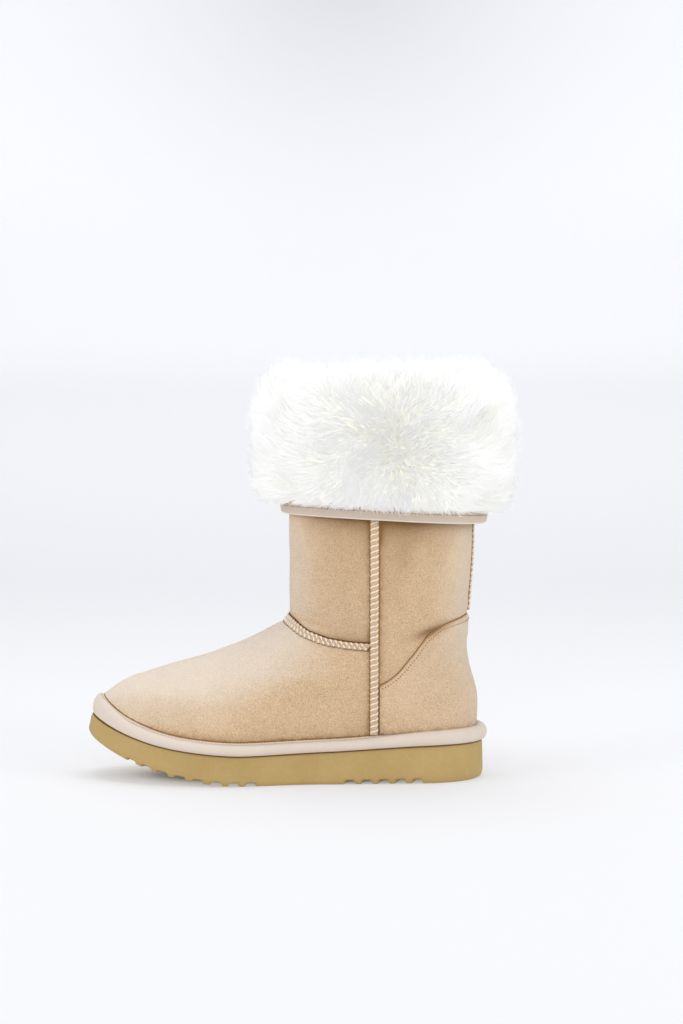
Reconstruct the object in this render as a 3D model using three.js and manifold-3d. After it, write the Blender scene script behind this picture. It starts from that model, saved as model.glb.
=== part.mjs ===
// A sheepskin boot for the left foot, its long shaft turned down into a deep fleece cuff.
// Millimetres, +X to the toe, +Y to the outer side of the foot, +Z up.
// The origin is on the ground under the heel, on the flat that the heel stands on.
import * as THREE from "three";
import { mergeVertices } from "three/addons/utils/BufferGeometryUtils.js";
import Module from "manifold-3d";

const wasm = await Module();
wasm.setup();

// The last.
const lastLength = 259.5;
const heelBehind = 20.5; // from the origin back to the last's heel point
const ballWidth = 92;
const waistWidth = 68;
const heelWidth = 64;
const ballSwing = 3; // how far the ball's middle lies to the outer side
const toeSwing = 6; // how far the toe's tip lies to the inner side
const instepHeight = 108.5; // of the bend above the ground

// The shaft.
const shaftDepth = 126; // front to back
const shaftWidth = 114;
const shaftForward = 44; // from the origin to the middle of the shaft
const shaftTop = 262; // where the wall starts to turn over
const wall = 2.2;
const clearance = 0.3; // between pieces that meet

// The unit sole.
const heelThickness = 25.2;
const waistThickness = 21.7;
const ballThickness = 20;
const toeThickness = 14.4;
const springStart = 134; // forward of the origin
const springRadius = 230;
const ledge = 4.7; // the sole's top edge outside the last
const heelLedge = 6;
const sideFlare = 1.2;
const toeFlare = 2.6;
const heelFlare = 0.5;
const edgeRound = 2.4;

// The tread.
const forefootPitch = 11.9;
const heelPitch = 11.2;
const grooveWidth = 7.5;
const grooveDepth = 2.7;
const grooveWave = 2.4;
const grooveWaveLength = 46;
const forefootGrooves = 8;
const forefootGrooveStart = 129.7;
const heelGrooves = 5;
const heelGrooveStart = 18.6;

// The welt, a padded strip round the foot of the upper.
const weltHeight = 9.2;
const weltDepth = 7.4;
const weltHeelSwell = 1.6; // more height and depth at the heel
const weltToeRise = 6.2; // more height at the toe's tip
const weltToeDrop = 2.4; // less depth at the toe

const insoleThickness = 5;

// Raised seams and the heel counter.
const seamWidth = 6.6;
const seamRaise = 1.5;
const counterRaise = 1.1;
const sideSeamForward = 48.7;
const backSeamWidth = 6;
const seamShift = 0.5; // the instep seam's middle above the bend

// The turned-down cuff.
const cuffFrontGap = 2.3; // between the shaft and the wall turned down over it
const cuffBackGap = 7;
const hemFront = 182; // height of the turned-down edge
const hemBack = 175;
const bindingThickness = 1.2;
const bindingHeight = 8.6;
const bindingInnerHeight = 6;
const fleeceDepth = 19.5;
const fleeceCrest = 15; // above the fold
const liningDepth = 11;
const lockLength = 25;
const lockWidth = 17;
const lockLift = 4.2;
const locksAround = 15;

const around = 36; // points round the boot
const lastToe = lastLength - heelBehind;
const soleBack = -heelBehind - heelLedge - heelFlare;
const soleToe = lastToe + ledge + toeFlare;

const lerp = (a, b, t) => a + (b - a) * t;
const clamp = (v, low, high) => Math.min(high, Math.max(low, v));
const smooth = (v) => {
  const t = clamp(v, 0, 1);
  return t * t * (3 - 2 * t);
};
const catmullRom = (a, b, c, d, t) =>
  b + 0.5 * t * (c - a + t * (2 * a - 5 * b + 4 * c - d + t * (3 * (b - c) + d - a)));

// Reads a table's column at a place between its rows, with a smooth curve through them.
function readTable(rows, at, column) {
  let i = 0;
  while (i < rows.length - 2 && at > rows[i + 1].at) i += 1;
  const t = clamp((at - rows[i].at) / (rows[i + 1].at - rows[i].at), 0, 1);
  const value = (k) => rows[clamp(i + k, 0, rows.length - 1)][column];
  return catmullRom(value(-1), value(0), value(1), value(2), t);
}

// The sole's thickness along its length: at is the share from its back edge to its toe.
const SOLE_THICKNESS = [
  { at: 0, thick: heelThickness },
  { at: 0.12, thick: heelThickness },
  { at: 0.24, thick: lerp(heelThickness, waistThickness, 0.4) },
  { at: 0.38, thick: waistThickness },
  { at: 0.56, thick: ballThickness },
  { at: 0.7, thick: lerp(ballThickness, toeThickness, 0.07) },
  { at: 0.86, thick: lerp(ballThickness, toeThickness, 0.6) },
  { at: 1, thick: toeThickness },
];

// The ground side rises in an arc towards the toe.
function groundHeight(x) {
  const ahead = clamp(x - springStart, 0, springRadius * 0.9);
  return springRadius - Math.sqrt(springRadius ** 2 - ahead ** 2);
}

// The seat is the sole's upper face, which the upper, welt and insole stand on.
const soleShare = (x) => clamp((x - soleBack) / (soleToe - soleBack), 0, 1);
const seatHeight = (x) => groundHeight(x) + readTable(SOLE_THICKNESS, soleShare(x), "thick");

// How far the middle of the last swings sideways: at is the share from heel to toe.
const SWING = [
  { at: 0, aside: 0 },
  { at: 0.36, aside: ballSwing },
  { at: 0.62, aside: ballSwing },
  { at: 0.82, aside: 0 },
  { at: 1, aside: -toeSwing },
];
const lastShare = (x) => (x + heelBehind) / lastLength;
const swing = (x) => readTable(SWING, clamp(lastShare(x), 0, 1), "aside");

// Rings of the foot, from the feather line up to the instep. front and back are shares of the
// last's length from its heel point, frontRise and backRise shares of the instep's height above
// the seat, heel, waist and ball shares of those widths, leg how far the ring has turned into
// the shaft's width, roundFront and roundBack the shares of the ring that its ends take, and
// hold how closely it follows the seat's curve.
const FOOT_RINGS = [
  {
    front: 1, frontRise: 0, back: 0, backRise: 0, heel: 1, waist: 1,
    ball: 1, leg: 0, roundFront: 0.355, roundBack: 0.14, hold: 1,
  },
  {
    front: 0.988, frontRise: 0.205, back: -0.002, backRise: 0.105, heel: 1.03, waist: 1.04,
    ball: 1.02, leg: 0, roundFront: 0.357, roundBack: 0.14, hold: 0.95,
  },
  {
    front: 0.973, frontRise: 0.265, back: -0.005, backRise: 0.2, heel: 1.07, waist: 1.08,
    ball: 1.03, leg: 0, roundFront: 0.385, roundBack: 0.145, hold: 0.74,
  },
  {
    front: 0.948, frontRise: 0.338, back: -0.006, backRise: 0.3, heel: 1.1, waist: 1.12,
    ball: 1.025, leg: 0.01, roundFront: 0.43, roundBack: 0.155, hold: 0.56,
  },
  {
    front: 0.905, frontRise: 0.42, back: -0.004, backRise: 0.39, heel: 1.11, waist: 1.15,
    ball: 1.01, leg: 0.05, roundFront: 0.5, roundBack: 0.17, hold: 0.4,
  },
  {
    front: 0.826, frontRise: 0.517, back: 0.003, backRise: 0.48, heel: 1.12, waist: 1.18,
    ball: 1, leg: 0.12, roundFront: 0.6, roundBack: 0.19, hold: 0.25,
  },
  {
    front: 0.716, frontRise: 0.64, back: 0.0125, backRise: 0.58, heel: 1.13, waist: 1.2,
    ball: 1, leg: 0.22, roundFront: 0.71, roundBack: 0.23, hold: 0.12,
  },
  {
    front: 0.612, frontRise: 0.788, back: 0.02, backRise: 0.69, heel: 1.15, waist: 1.22,
    ball: 1, leg: 0.36, roundFront: 0.76, roundBack: 0.29, hold: 0.04,
  },
  {
    front: 0.535, frontRise: 0.935, back: 0.024, backRise: 0.8, heel: 1.16, waist: 1.24,
    ball: 1, leg: 0.52, roundFront: 0.74, roundBack: 0.35, hold: 0,
  },
];

// Rings of the leg. front and back are shares of half the shaft's depth from its middle,
// and the rises shares of the way from the instep up to the shaft's top.
const LEG_RINGS = [
  { front: 1.02, frontRise: 0.008, back: 0.937, backRise: -0.055, leg: 0.66, roundFront: 0.66, roundBack: 0.4 },
  { front: 0.992, frontRise: 0.062, back: 0.944, backRise: 0.012, leg: 0.79, roundFront: 0.58, roundBack: 0.45 },
  { front: 0.99, frontRise: 0.17, back: 0.966, backRise: 0.125, leg: 0.91, roundFront: 0.52, roundBack: 0.485 },
  { front: 1, frontRise: 0.41, back: 1, backRise: 0.38, leg: 1, roundFront: 0.5, roundBack: 0.5 },
  { front: 1, frontRise: 1, back: 1, backRise: 1, leg: 1, roundFront: 0.5, roundBack: 0.5 },
];
const ankleWidthShare = 1.18; // of the heel's and waist's width, where the foot turns into the leg

const toeSeat = seatHeight(lastToe) + clearance;
const heelSeat = seatHeight(-heelBehind) + clearance;

// The two tables as one list of rings in millimetres.
const RINGS = [
  ...FOOT_RINGS.map((row) => ({
    ...row,
    frontX: row.front * lastLength - heelBehind,
    frontZ: lerp(toeSeat, instepHeight, row.frontRise),
    backX: row.back * lastLength - heelBehind,
    backZ: lerp(heelSeat, instepHeight, row.backRise),
    heel: row.heel * (heelWidth / 2),
    waist: row.waist * (waistWidth / 2),
    ball: row.ball * (ballWidth / 2),
  })),
  ...LEG_RINGS.map((row) => ({
    ...row,
    frontX: shaftForward + row.front * (shaftDepth / 2),
    frontZ: lerp(instepHeight, shaftTop, row.frontRise),
    backX: shaftForward - row.back * (shaftDepth / 2),
    backZ: lerp(instepHeight, shaftTop, row.backRise),
    heel: (ankleWidthShare * heelWidth) / 2,
    waist: (ankleWidthShare * waistWidth) / 2,
    ball: ballWidth / 2,
    hold: 0,
  })),
];
const topRing = RINGS.length - 1;
const weltRing = 1; // the ring at the welt's inner top edge

function ringAt(r) {
  const i = clamp(Math.floor(r), 0, topRing - 1);
  const row = (k) => RINGS[clamp(i + k, 0, topRing)];
  const ring = {};
  for (const column of Object.keys(RINGS[topRing])) {
    const value = (k) => row(k)[column];
    ring[column] = catmullRom(value(-1), value(0), value(1), value(2), r - i);
  }
  return ring;
}

// Where the widths of heel, waist and ball are measured, as shares of the last's length.
const heelStation = 0.13;
const waistStation = 0.4;
const ballStation = 0.7;

function bodyHalfWidth(ring, x) {
  const share = lastShare(x);
  const behind = lerp(ring.heel, ring.waist, smooth((share - heelStation) / (waistStation - heelStation)));
  const foot = lerp(behind, ring.ball, smooth((share - waistStation) / (ballStation - waistStation)));
  return lerp(foot, shaftWidth / 2, ring.leg);
}

// How late the rings that hold to the seat leave it for the toe's tip.
const tipSteepness = 18;

// A quarter ellipse: 0 at the very end of a ring, 1 where the round end meets its side.
const endRound = (v) => (v >= 1 ? 1 : Math.sqrt(Math.max(0, v * (2 - v))));

// The outer face of the upper: r counts rings upwards, u goes round from the toe (0)
// by the outer side to the heel (pi) and back by the inner side.
function upperPoint(r, u) {
  const ring = ringAt(r);
  const share = (1 + Math.cos(u)) / 2;
  const x = lerp(ring.backX, ring.frontX, share);
  const ends = endRound((1 - share) / ring.roundFront) * endRound(share / ring.roundBack);
  const half = bodyHalfWidth(ring, x) * ends;
  const y = swing(x) * (1 - ring.leg) + Math.sign(Math.sin(u)) * half;
  const rise = share ** lerp(1, tipSteepness, smooth(2 * ring.hold - 1));
  const bend = seatHeight(x) - lerp(seatHeight(ring.backX), seatHeight(ring.frontX), rise);
  return new THREE.Vector3(x, y, lerp(ring.backZ, ring.frontZ, rise) + ring.hold * bend);
}

function upperNormal(r, u) {
  const step = 0.002;
  const along = upperPoint(r, u + step).sub(upperPoint(r, u - step));
  const up = upperPoint(Math.min(r + step, topRing), u).sub(upperPoint(Math.max(r - step, 0), u));
  return along.cross(up).normalize();
}

// A point of the upper moved out along its normal, or in where out is negative.
const offsetPoint = (r, u, out) => upperPoint(r, u).addScaledVector(upperNormal(r, u), out);

// The level direction straight out of the upper at a ring.
function levelOut(r, u) {
  const normal = upperNormal(r, u);
  return new THREE.Vector3(normal.x, normal.y, 0).normalize();
}

// The angles round the boot, a little off the exact toe and heel so that both sides match.
const ANGLES = Array.from({ length: around }, (_, j) => (2 * Math.PI * (j + 0.5)) / around);
const loopOf = (point) => ANGLES.map((u) => point(u));
const evenly = (count, from, to) =>
  Array.from({ length: count }, (_, i) => lerp(from, to, i / (count - 1)));
const backShare = (u) => (1 - Math.cos(u)) / 2;

// A closed geometry from points and triangles.
function geometryOf(points, faces) {
  const geometry = new THREE.BufferGeometry();
  const numbers = points.flatMap((p) => [p.x, p.y, p.z]);
  geometry.setAttribute("position", new THREE.Float32BufferAttribute(numbers, 3));
  geometry.setIndex(faces.flat());
  return geometry;
}

// Two triangles for each cell between loop i and loop i + 1.
function bandFaces(i, next, count) {
  const faces = [];
  for (let j = 0; j < count; j += 1) {
    const k = (j + 1) % count;
    const [a, b, c, d] = [i * count + j, i * count + k, next * count + k, next * count + j];
    faces.push([a, b, c], [a, c, d]);
  }
  return faces;
}

// A closed tube of loops whose last joins its first, such as a wall or a strip round the boot.
function ringBody(loops) {
  const count = loops[0].length;
  const faces = loops.flatMap((_, i) => bandFaces(i, (i + 1) % loops.length, count));
  return solidOf(geometryOf(loops.flat(), faces));
}

// A body between a lowest and a highest loop, each closed across from side to side.
function cappedBody(loops) {
  const count = loops[0].length;
  const faces = loops.slice(1).flatMap((_, i) => bandFaces(i, i + 1, count));
  const last = (loops.length - 1) * count;
  for (let j = 0; j < count / 2 - 1; j += 1) {
    const [a, b, c, d] = [j, j + 1, count - 2 - j, count - 1 - j];
    faces.push([a, c, b], [a, d, c]);
    faces.push([last + a, last + b, last + c], [last + a, last + c, last + d]);
  }
  return solidOf(geometryOf(loops.flat(), faces));
}

function solidOf(geometry) {
  const bare = geometry.clone();
  bare.deleteAttribute("normal");
  bare.deleteAttribute("uv");
  const merged = mergeVertices(bare, 1e-4);
  const solid = new wasm.Manifold(
    new wasm.Mesh({
      numProp: 3,
      vertProperties: new Float32Array(merged.attributes.position.array),
      triVerts: new Uint32Array(merged.index.array),
    }),
  );
  if (solid.volume() <= 0) throw new Error("a body's faces point inwards");
  return solid;
}

function geometryFrom(solid) {
  const mesh = solid.getMesh();
  const positions = new Float32Array(mesh.numVert * 3);
  for (let i = 0; i < mesh.numVert; i += 1) {
    const start = i * mesh.numProp;
    positions.set(mesh.vertProperties.subarray(start, start + 3), i * 3);
  }
  const geometry = new THREE.BufferGeometry();
  geometry.setAttribute("position", new THREE.BufferAttribute(positions, 3));
  geometry.setIndex(new THREE.BufferAttribute(new Uint32Array(mesh.triVerts), 1));
  geometry.computeVertexNormals();
  return geometry;
}

// A flat region of the side view, given as [x, z] corners, carried across from y = from to y = to.
function sidePrism(corners, from, to) {
  const shape = new THREE.Shape(corners.map(([x, z]) => new THREE.Vector2(x, z)));
  const geometry = new THREE.ExtrudeGeometry(shape, { depth: to - from, bevelEnabled: false });
  geometry.rotateX(Math.PI / 2);
  geometry.translate(0, to, 0);
  return solidOf(geometry);
}

// The upper's own outer form, grown by a distance: overlays are cut between two of these.
const FACE_RINGS = [0, 1, 2, 3, 3.5, 4, 4.5, 5, 5.5, 6, 6.5, 7, 7.5, 8, 8.5, 9, 9.5, 10, 11, 12, topRing];
const grownForm = (out) => cappedBody(FACE_RINGS.map((r) => loopOf((u) => offsetPoint(r, u, out))));

function overlay(raise, region) {
  const shell = grownForm(clearance + raise).subtract(grownForm(clearance));
  return shell.intersect(region);
}

// The wall turns over at the top: gapAt is the space between the shaft and the turned-down wall.
const gapAt = (u) => lerp(cuffFrontGap, cuffBackGap, backShare(u));
const hemAt = (u) => lerp(hemFront, hemBack, backShare(u) ** 1.7);

// A point beside the top ring: out is measured level from the shaft's outer face.
function besideTop(u, out, z) {
  const point = upperPoint(topRing, u).addScaledVector(levelOut(topRing, u), out);
  point.z = z;
  return point;
}

// A point of the half turn over the top, at a radius about the middle of the fold's gap.
function foldPoint(u, turn, radius) {
  const out = gapAt(u) / 2 - Math.cos(turn) * radius;
  return besideTop(u, out, shaftTop + Math.sin(turn) * radius);
}

const foldTurns = [Math.PI / 3, (2 * Math.PI) / 3];
const LINING_RINGS = [0, 1, 3, 4, 5, 6, 7, 8, 9, 10, 11, topRing];

function makeUpper() {
  const hemEdge = (u) => hemAt(u) + bindingThickness + clearance;
  const outerFace = FACE_RINGS.map((r) => loopOf((u) => upperPoint(r, u)));
  const innerFold = foldTurns.map((turn) => loopOf((u) => foldPoint(u, turn, gapAt(u) / 2)));
  const turnedBack = [shaftTop, null].map((z) => loopOf((u) => besideTop(u, gapAt(u), z ?? hemEdge(u))));
  const turnedFace = [null, shaftTop].map((z) =>
    loopOf((u) => besideTop(u, gapAt(u) + wall, z ?? hemEdge(u))),
  );
  const outerFold = [...foldTurns]
    .reverse()
    .map((turn) => loopOf((u) => foldPoint(u, turn, gapAt(u) / 2 + wall)));
  const inside = [...LINING_RINGS].reverse().map((r) => loopOf((u) => offsetPoint(r, u, -wall)));
  return ringBody([...outerFace, ...innerFold, ...turnedBack, ...turnedFace, ...outerFold, ...inside]);
}

// A point of the sole's side: flare is the share of the flare there, inset the rounding
// taken off it, and rise the share of the way from the ground to the seat.
function solePoint(u, { flare, inset, rise }) {
  const heel = smooth((backShare(u) - 0.88) / 0.12);
  const toe = smooth((0.3 - backShare(u)) / 0.3);
  const widest = lerp(lerp(sideFlare, toeFlare, toe), heelFlare, heel);
  const out = lerp(ledge, heelLedge, heel) + widest * flare - edgeRound * inset;
  const point = upperPoint(0, u).addScaledVector(levelOut(0, u), out);
  point.z = lerp(groundHeight(point.x), seatHeight(point.x), rise);
  return point;
}

const SOLE_ROWS = [
  { flare: 1, inset: 1, rise: 0 },
  { flare: 1, inset: 0.3, rise: 0.07 },
  { flare: 1, inset: 0, rise: 0.22 },
  { flare: 0.3, inset: 0, rise: 0.85 },
  { flare: 0, inset: 0, rise: 1 },
];

function makeOutsole() {
  const loops = SOLE_ROWS.map((row) => loopOf((u) => solePoint(u, row)));
  const body = cappedBody(loops);
  const starts = [
    ...Array.from({ length: forefootGrooves }, (_, i) => forefootGrooveStart + i * forefootPitch),
    ...Array.from({ length: heelGrooves }, (_, i) => heelGrooveStart + i * heelPitch),
  ];
  return starts.reduce((solid, x) => solid.subtract(grooveCutter(x)), body);
}

// A wavy channel across the sole, from side to side, that follows the rise of the toe.
function grooveCutter(start) {
  const reach = ballWidth / 2 + ledge + toeFlare + grooveWidth;
  const section = [
    { across: -0.5, deep: -0.6 },
    { across: -0.4, deep: 0.65 },
    { across: 0, deep: 1 },
    { across: 0.4, deep: 0.65 },
    { across: 0.5, deep: -0.6 },
  ];
  const slices = evenly(7, -reach, reach).map((y) =>
    section.map(({ across, deep }) => {
      const x = start + grooveWave * Math.cos((2 * Math.PI * y) / grooveWaveLength) + across * grooveWidth;
      return new THREE.Vector3(x, y, groundHeight(x) + deep * grooveDepth);
    }),
  );
  return endedBody(slices);
}

// A bar through slices that are fanned shut at both ends.
function endedBody(slices) {
  const count = slices[0].length;
  const faces = slices.slice(1).flatMap((_, i) => bandFaces(i, i + 1, count));
  const last = (slices.length - 1) * count;
  for (let j = 1; j < count - 1; j += 1) {
    faces.push([0, j + 1, j], [last, last + j, last + j + 1]);
  }
  return solidOf(geometryOf(slices.flat(), faces));
}

function makeInsole() {
  const inset = wall + clearance;
  const foot = loopOf((u) => offsetPoint(0, u, -inset));
  const weltTop = loopOf((u) => offsetPoint(weltRing, u, -inset));
  const share = insoleThickness / weltHeight;
  const top = foot.map((point, j) => point.clone().lerp(weltTop[j], share));
  return cappedBody([foot, top]);
}

// The welt swells at the heel and stands higher but slimmer round the toe's tip.
const weltTip = (u) => smooth((0.1 - backShare(u)) / 0.1);
const weltHeel = (u) => smooth((backShare(u) - 0.7) / 0.3);
const weltHeightAt = (u) => weltHeight + weltHeelSwell * weltHeel(u) + weltToeRise * weltTip(u);
const weltToe = (u) => smooth((0.3 - backShare(u)) / 0.3);
const weltDepthAt = (u) => weltDepth + weltHeelSwell * weltHeel(u) - weltToeDrop * weltToe(u);

// The padded section: out from the upper and up from the seat, as shares of depth and height.
const WELT_ROWS = [
  { out: 0.55, up: 0 },
  { out: 0.86, up: 0.12 },
  { out: 1, up: 0.42 },
  { out: 0.9, up: 0.74 },
  { out: 0.62, up: 0.97 },
  { out: 0.3, up: 1 },
];

function weltPoint(u, { out, up }) {
  const side = weltRing * up;
  const point = upperPoint(side, u).addScaledVector(levelOut(0, u), clearance + out * weltDepthAt(u));
  point.z = seatHeight(point.x) + clearance + up * weltHeightAt(u);
  return point;
}

function makeWelt() {
  const inner = [weltRing, 0].map((r) => loopOf((u) => offsetPoint(r, u, clearance)));
  const outer = WELT_ROWS.map((row) => loopOf((u) => weltPoint(u, row)));
  return ringBody([...outer, ...inner]);
}

// The curve of the instep seam in the side view, from the front of the bend to the side seam:
// forward is the share from the side seam to the shaft's front, and fall the share of
// instepFall below the bend.
const instepFall = 15;
const INSTEP_SEAM = [
  { forward: 0, fall: 1 },
  { forward: 0.28, fall: 0.93 },
  { forward: 0.55, fall: 0.78 },
  { forward: 0.79, fall: 0.48 },
  { forward: 1, fall: 0 },
  { forward: 1.22, fall: -0.5 },
];

function makeInstepSeam() {
  const front = shaftForward + shaftDepth / 2;
  const from = sideSeamForward + seamWidth / 2 + clearance;
  const middle = INSTEP_SEAM.map(
    ({ forward, fall }) =>
      new THREE.Vector2(lerp(from, front, forward), instepHeight + seamShift - fall * instepFall),
  );
  const route = new THREE.SplineCurve(middle).getPoints(10);
  const shifted = (side) =>
    route.map((point, i) => {
      const before = route[Math.max(i - 1, 0)];
      const after = route[Math.min(i + 1, route.length - 1)];
      const along = after.clone().sub(before).normalize();
      const x = i === 0 ? point.x : point.x - along.y * side;
      return [x, point.y + along.x * side];
    });
  const corners = [...shifted(-seamWidth / 2), ...shifted(seamWidth / 2).reverse()];
  return overlay(seamRaise, sidePrism(corners, -shaftWidth, shaftWidth));
}

const weltCrestAt = (x) => seatHeight(x) + weltHeight + weltHeelSwell + 2 * clearance;

function makeSideSeam(side) {
  const [low, high] = [sideSeamForward - seamWidth / 2, sideSeamForward + seamWidth / 2];
  const foot = weltCrestAt(sideSeamForward) - weltHeelSwell / 2;
  const top = shaftTop - 4 * clearance;
  const corners = [[low, foot], [high, foot], [high, top], [low, top]];
  const [from, to] = side > 0 ? [ballSwing, shaftWidth] : [-shaftWidth, -ballSwing];
  return overlay(seamRaise, sidePrism(corners, from, to));
}

// The counter's top edge in the side view: back is the share from the side seam to the heel,
// rise the share from the welt up to counterHeight.
const counterHeight = 113.2; // at the back
const COUNTER_EDGE = [
  { back: 0, rise: 0.41 },
  { back: 0.19, rise: 0.512 },
  { back: 0.36, rise: 0.682 },
  { back: 0.49, rise: 0.822 },
  { back: 0.65, rise: 0.92 },
  { back: 0.87, rise: 0.972 },
  { back: 1, rise: 1 },
  { back: 1.3, rise: 1.06 },
];

function counterEdge() {
  const from = sideSeamForward - seamWidth / 2 - clearance;
  const heel = shaftForward - shaftDepth / 2;
  const foot = weltCrestAt(from);
  const corners = COUNTER_EDGE.map(
    ({ back, rise }) => new THREE.Vector2(lerp(from, heel, back), lerp(foot, counterHeight, rise)),
  );
  return new THREE.SplineCurve(corners).getPoints(16).map((point) => [point.x, point.y]);
}

function makeCounter() {
  const edge = counterEdge();
  const [from, end] = [edge[0][0], edge[edge.length - 1][0]];
  const floor = evenly(9, end, from).map((x) => [x, weltCrestAt(x)]);
  return overlay(counterRaise, sidePrism([...edge, ...floor], -shaftWidth, shaftWidth));
}

function makeBackSeam() {
  const behind = -heelBehind - seamWidth * 2;
  const corners = [
    [behind, counterHeight + 5 * clearance],
    [shaftForward / 2, counterHeight + 5 * clearance],
    [shaftForward / 2, shaftTop - 4 * clearance],
    [behind, shaftTop - 4 * clearance],
  ];
  return overlay(seamRaise, sidePrism(corners, -backSeamWidth / 2, backSeamWidth / 2));
}

function makeBinding() {
  const outFace = (u) => gapAt(u) + wall + clearance;
  const inFace = (u) => gapAt(u) - clearance;
  const thick = bindingThickness;
  const section = [
    { out: (u) => outFace(u) + thick, up: bindingHeight },
    { out: outFace, up: bindingHeight },
    { out: outFace, up: thick },
    { out: inFace, up: thick },
    { out: inFace, up: bindingInnerHeight },
    { out: (u) => inFace(u) - thick, up: bindingInnerHeight },
    { out: (u) => inFace(u) - thick, up: thick },
    { out: inFace, up: 0 },
    { out: outFace, up: 0 },
    { out: (u) => outFace(u) + thick, up: thick },
  ];
  return ringBody(section.map(({ out, up }) => loopOf((u) => besideTop(u, out(u), hemAt(u) + up))));
}

// The fleece's outer form, from the binding up over the crest and down inside the shaft.
// across is the share of its reach from the fold's middle, outwards or, below 0, inwards,
// and up the share from its lower edge to its crest.
const FLEECE_ROWS = [
  { across: 0.62, up: 0.0 },
  { across: 0.85, up: 0.08 },
  { across: 0.97, up: 0.24 },
  { across: 1, up: 0.44 },
  { across: 0.98, up: 0.64 },
  { across: 0.86, up: 0.81 },
  { across: 0.6, up: 0.94 },
  { across: 0.2, up: 1 },
  { across: -0.42, up: 0.985 },
  { across: -0.86, up: 0.92 },
  { across: -1, up: 0.82 },
  { across: -0.97, up: 0.7 },
];

function fleecePoint(row, u) {
  const reach = gapAt(u) / 2 + wall + (row.across > 0 ? fleeceDepth : liningDepth);
  const low = hemAt(u) + bindingHeight + clearance;
  const crest = shaftTop + gapAt(u) / 2 + wall + fleeceCrest;
  return besideTop(u, gapAt(u) / 2 + row.across * reach, lerp(low, crest, row.up));
}

// A lock of fleece: a tapering three-sided spike that lies along the pile and lifts off it.
function lock(root, along, lift) {
  const aside = along.clone().cross(lift).normalize();
  const rows = [
    { far: -0.15, wide: 0.75, high: -0.6, thick: 1.1 },
    { far: 0.5, wide: 1, high: 0.1, thick: 1.1 },
  ];
  const slices = rows.map(({ far, wide, high, thick }) => {
    const middle = root.clone().addScaledVector(along, far * lockLength);
    middle.addScaledVector(lift, high * lockLift);
    return [
      middle.clone().addScaledVector(aside, (-wide * lockWidth) / 2),
      middle.clone().addScaledVector(lift, thick * lockLift),
      middle.clone().addScaledVector(aside, (wide * lockWidth) / 2),
    ];
  });
  const tip = root.clone().addScaledVector(along, lockLength).addScaledVector(lift, lockLift * 0.6);
  const faces = [[0, 2, 1], ...bandFaces(0, 1, 3), [3, 4, 6], [4, 5, 6], [5, 3, 6]];
  return solidOf(geometryOf([...slices.flat(), tip], faces));
}

function makeFleece() {
  const outer = FLEECE_ROWS.map((row) => loopOf((u) => fleecePoint(row, u)));
  const lowest = FLEECE_ROWS[FLEECE_ROWS.length - 1];
  const insideRow = loopOf((u) => besideTop(u, -wall - clearance, fleecePoint(lowest, u).z));
  const insideTop = loopOf((u) => besideTop(u, -wall - clearance, shaftTop));
  const over = foldTurns.map((turn) => loopOf((u) => foldPoint(u, turn, gapAt(u) / 2 + wall + clearance)));
  const face = [shaftTop, null].map((z) =>
    loopOf((u) => besideTop(u, gapAt(u) + wall + clearance, z ?? hemAt(u) + bindingHeight + clearance)),
  );
  const body = ringBody([...outer, insideRow, insideTop, ...over, ...face]);
  const locks = [];
  // Rows of locks: row is the fleece row that a lock grows from, lean how far it sweeps aside.
  const lockRows = [
    { row: 2, lean: 0.25, droop: 0.95 },
    { row: 3, lean: 0.5, droop: 0.8 },
    { row: 4, lean: 0.6, droop: 0.7 },
    { row: 5, lean: 0.5, droop: 0.8 },
  ];
  lockRows.forEach(({ row, lean, droop }, i) => {
    for (let k = 0; k < locksAround; k += 1) {
      const u = (2 * Math.PI * (k + (i % 2) / 2)) / locksAround;
      const step = 0.05;
      const root = fleecePoint(FLEECE_ROWS[row], u);
      const ahead = fleecePoint(FLEECE_ROWS[row], u + step);
      const aside = ahead.sub(fleecePoint(FLEECE_ROWS[row], u - step)).normalize();
      const lower = fleecePoint(FLEECE_ROWS[row - 1], u);
      const down = lower.sub(fleecePoint(FLEECE_ROWS[row + 1], u)).normalize();
      const wave = lean * Math.sin(2.3 * u + 1.1 * i);
      const along = down.clone().multiplyScalar(droop).addScaledVector(aside, wave).normalize();
      const lift = down.clone().cross(aside).normalize().negate();
      if (lift.dot(levelOut(topRing, u)) < 0) lift.negate();
      locks.push(lock(root, along, lift));
    }
  });
  return wasm.Manifold.union([body, ...locks]);
}

const suede = new THREE.MeshStandardMaterial({ color: 0xd9bc96, roughness: 0.92, metalness: 0 });
const seamLeather = new THREE.MeshStandardMaterial({ color: 0xe3cda9, roughness: 0.8, metalness: 0 });
const bindingLeather = new THREE.MeshStandardMaterial({ color: 0xe6d8ca, roughness: 0.6, metalness: 0 });
const fleece = new THREE.MeshStandardMaterial({ color: 0xf7f5ee, roughness: 0.95, metalness: 0 });
const foamRubber = new THREE.MeshStandardMaterial({ color: 0xbfa468, roughness: 0.7, metalness: 0 });

const boot = new THREE.Group();
function addPiece(name, solid, material) {
  const mesh = new THREE.Mesh(geometryFrom(solid), material);
  mesh.name = name;
  boot.add(mesh);
}

addPiece("outsole", makeOutsole(), foamRubber);
addPiece("insole", makeInsole(), fleece);
addPiece("sole_welt", makeWelt(), bindingLeather);
addPiece("upper", makeUpper(), suede);
addPiece("heel_counter", makeCounter(), suede);
addPiece("side_seam_outer", makeSideSeam(1), seamLeather);
addPiece("side_seam_inner", makeSideSeam(-1), seamLeather);
addPiece("instep_seam", makeInstepSeam(), seamLeather);
addPiece("back_seam", makeBackSeam(), seamLeather);
addPiece("fleece_cuff", makeFleece(), fleece);
addPiece("cuff_binding", makeBinding(), bindingLeather);

export default boot;
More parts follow.
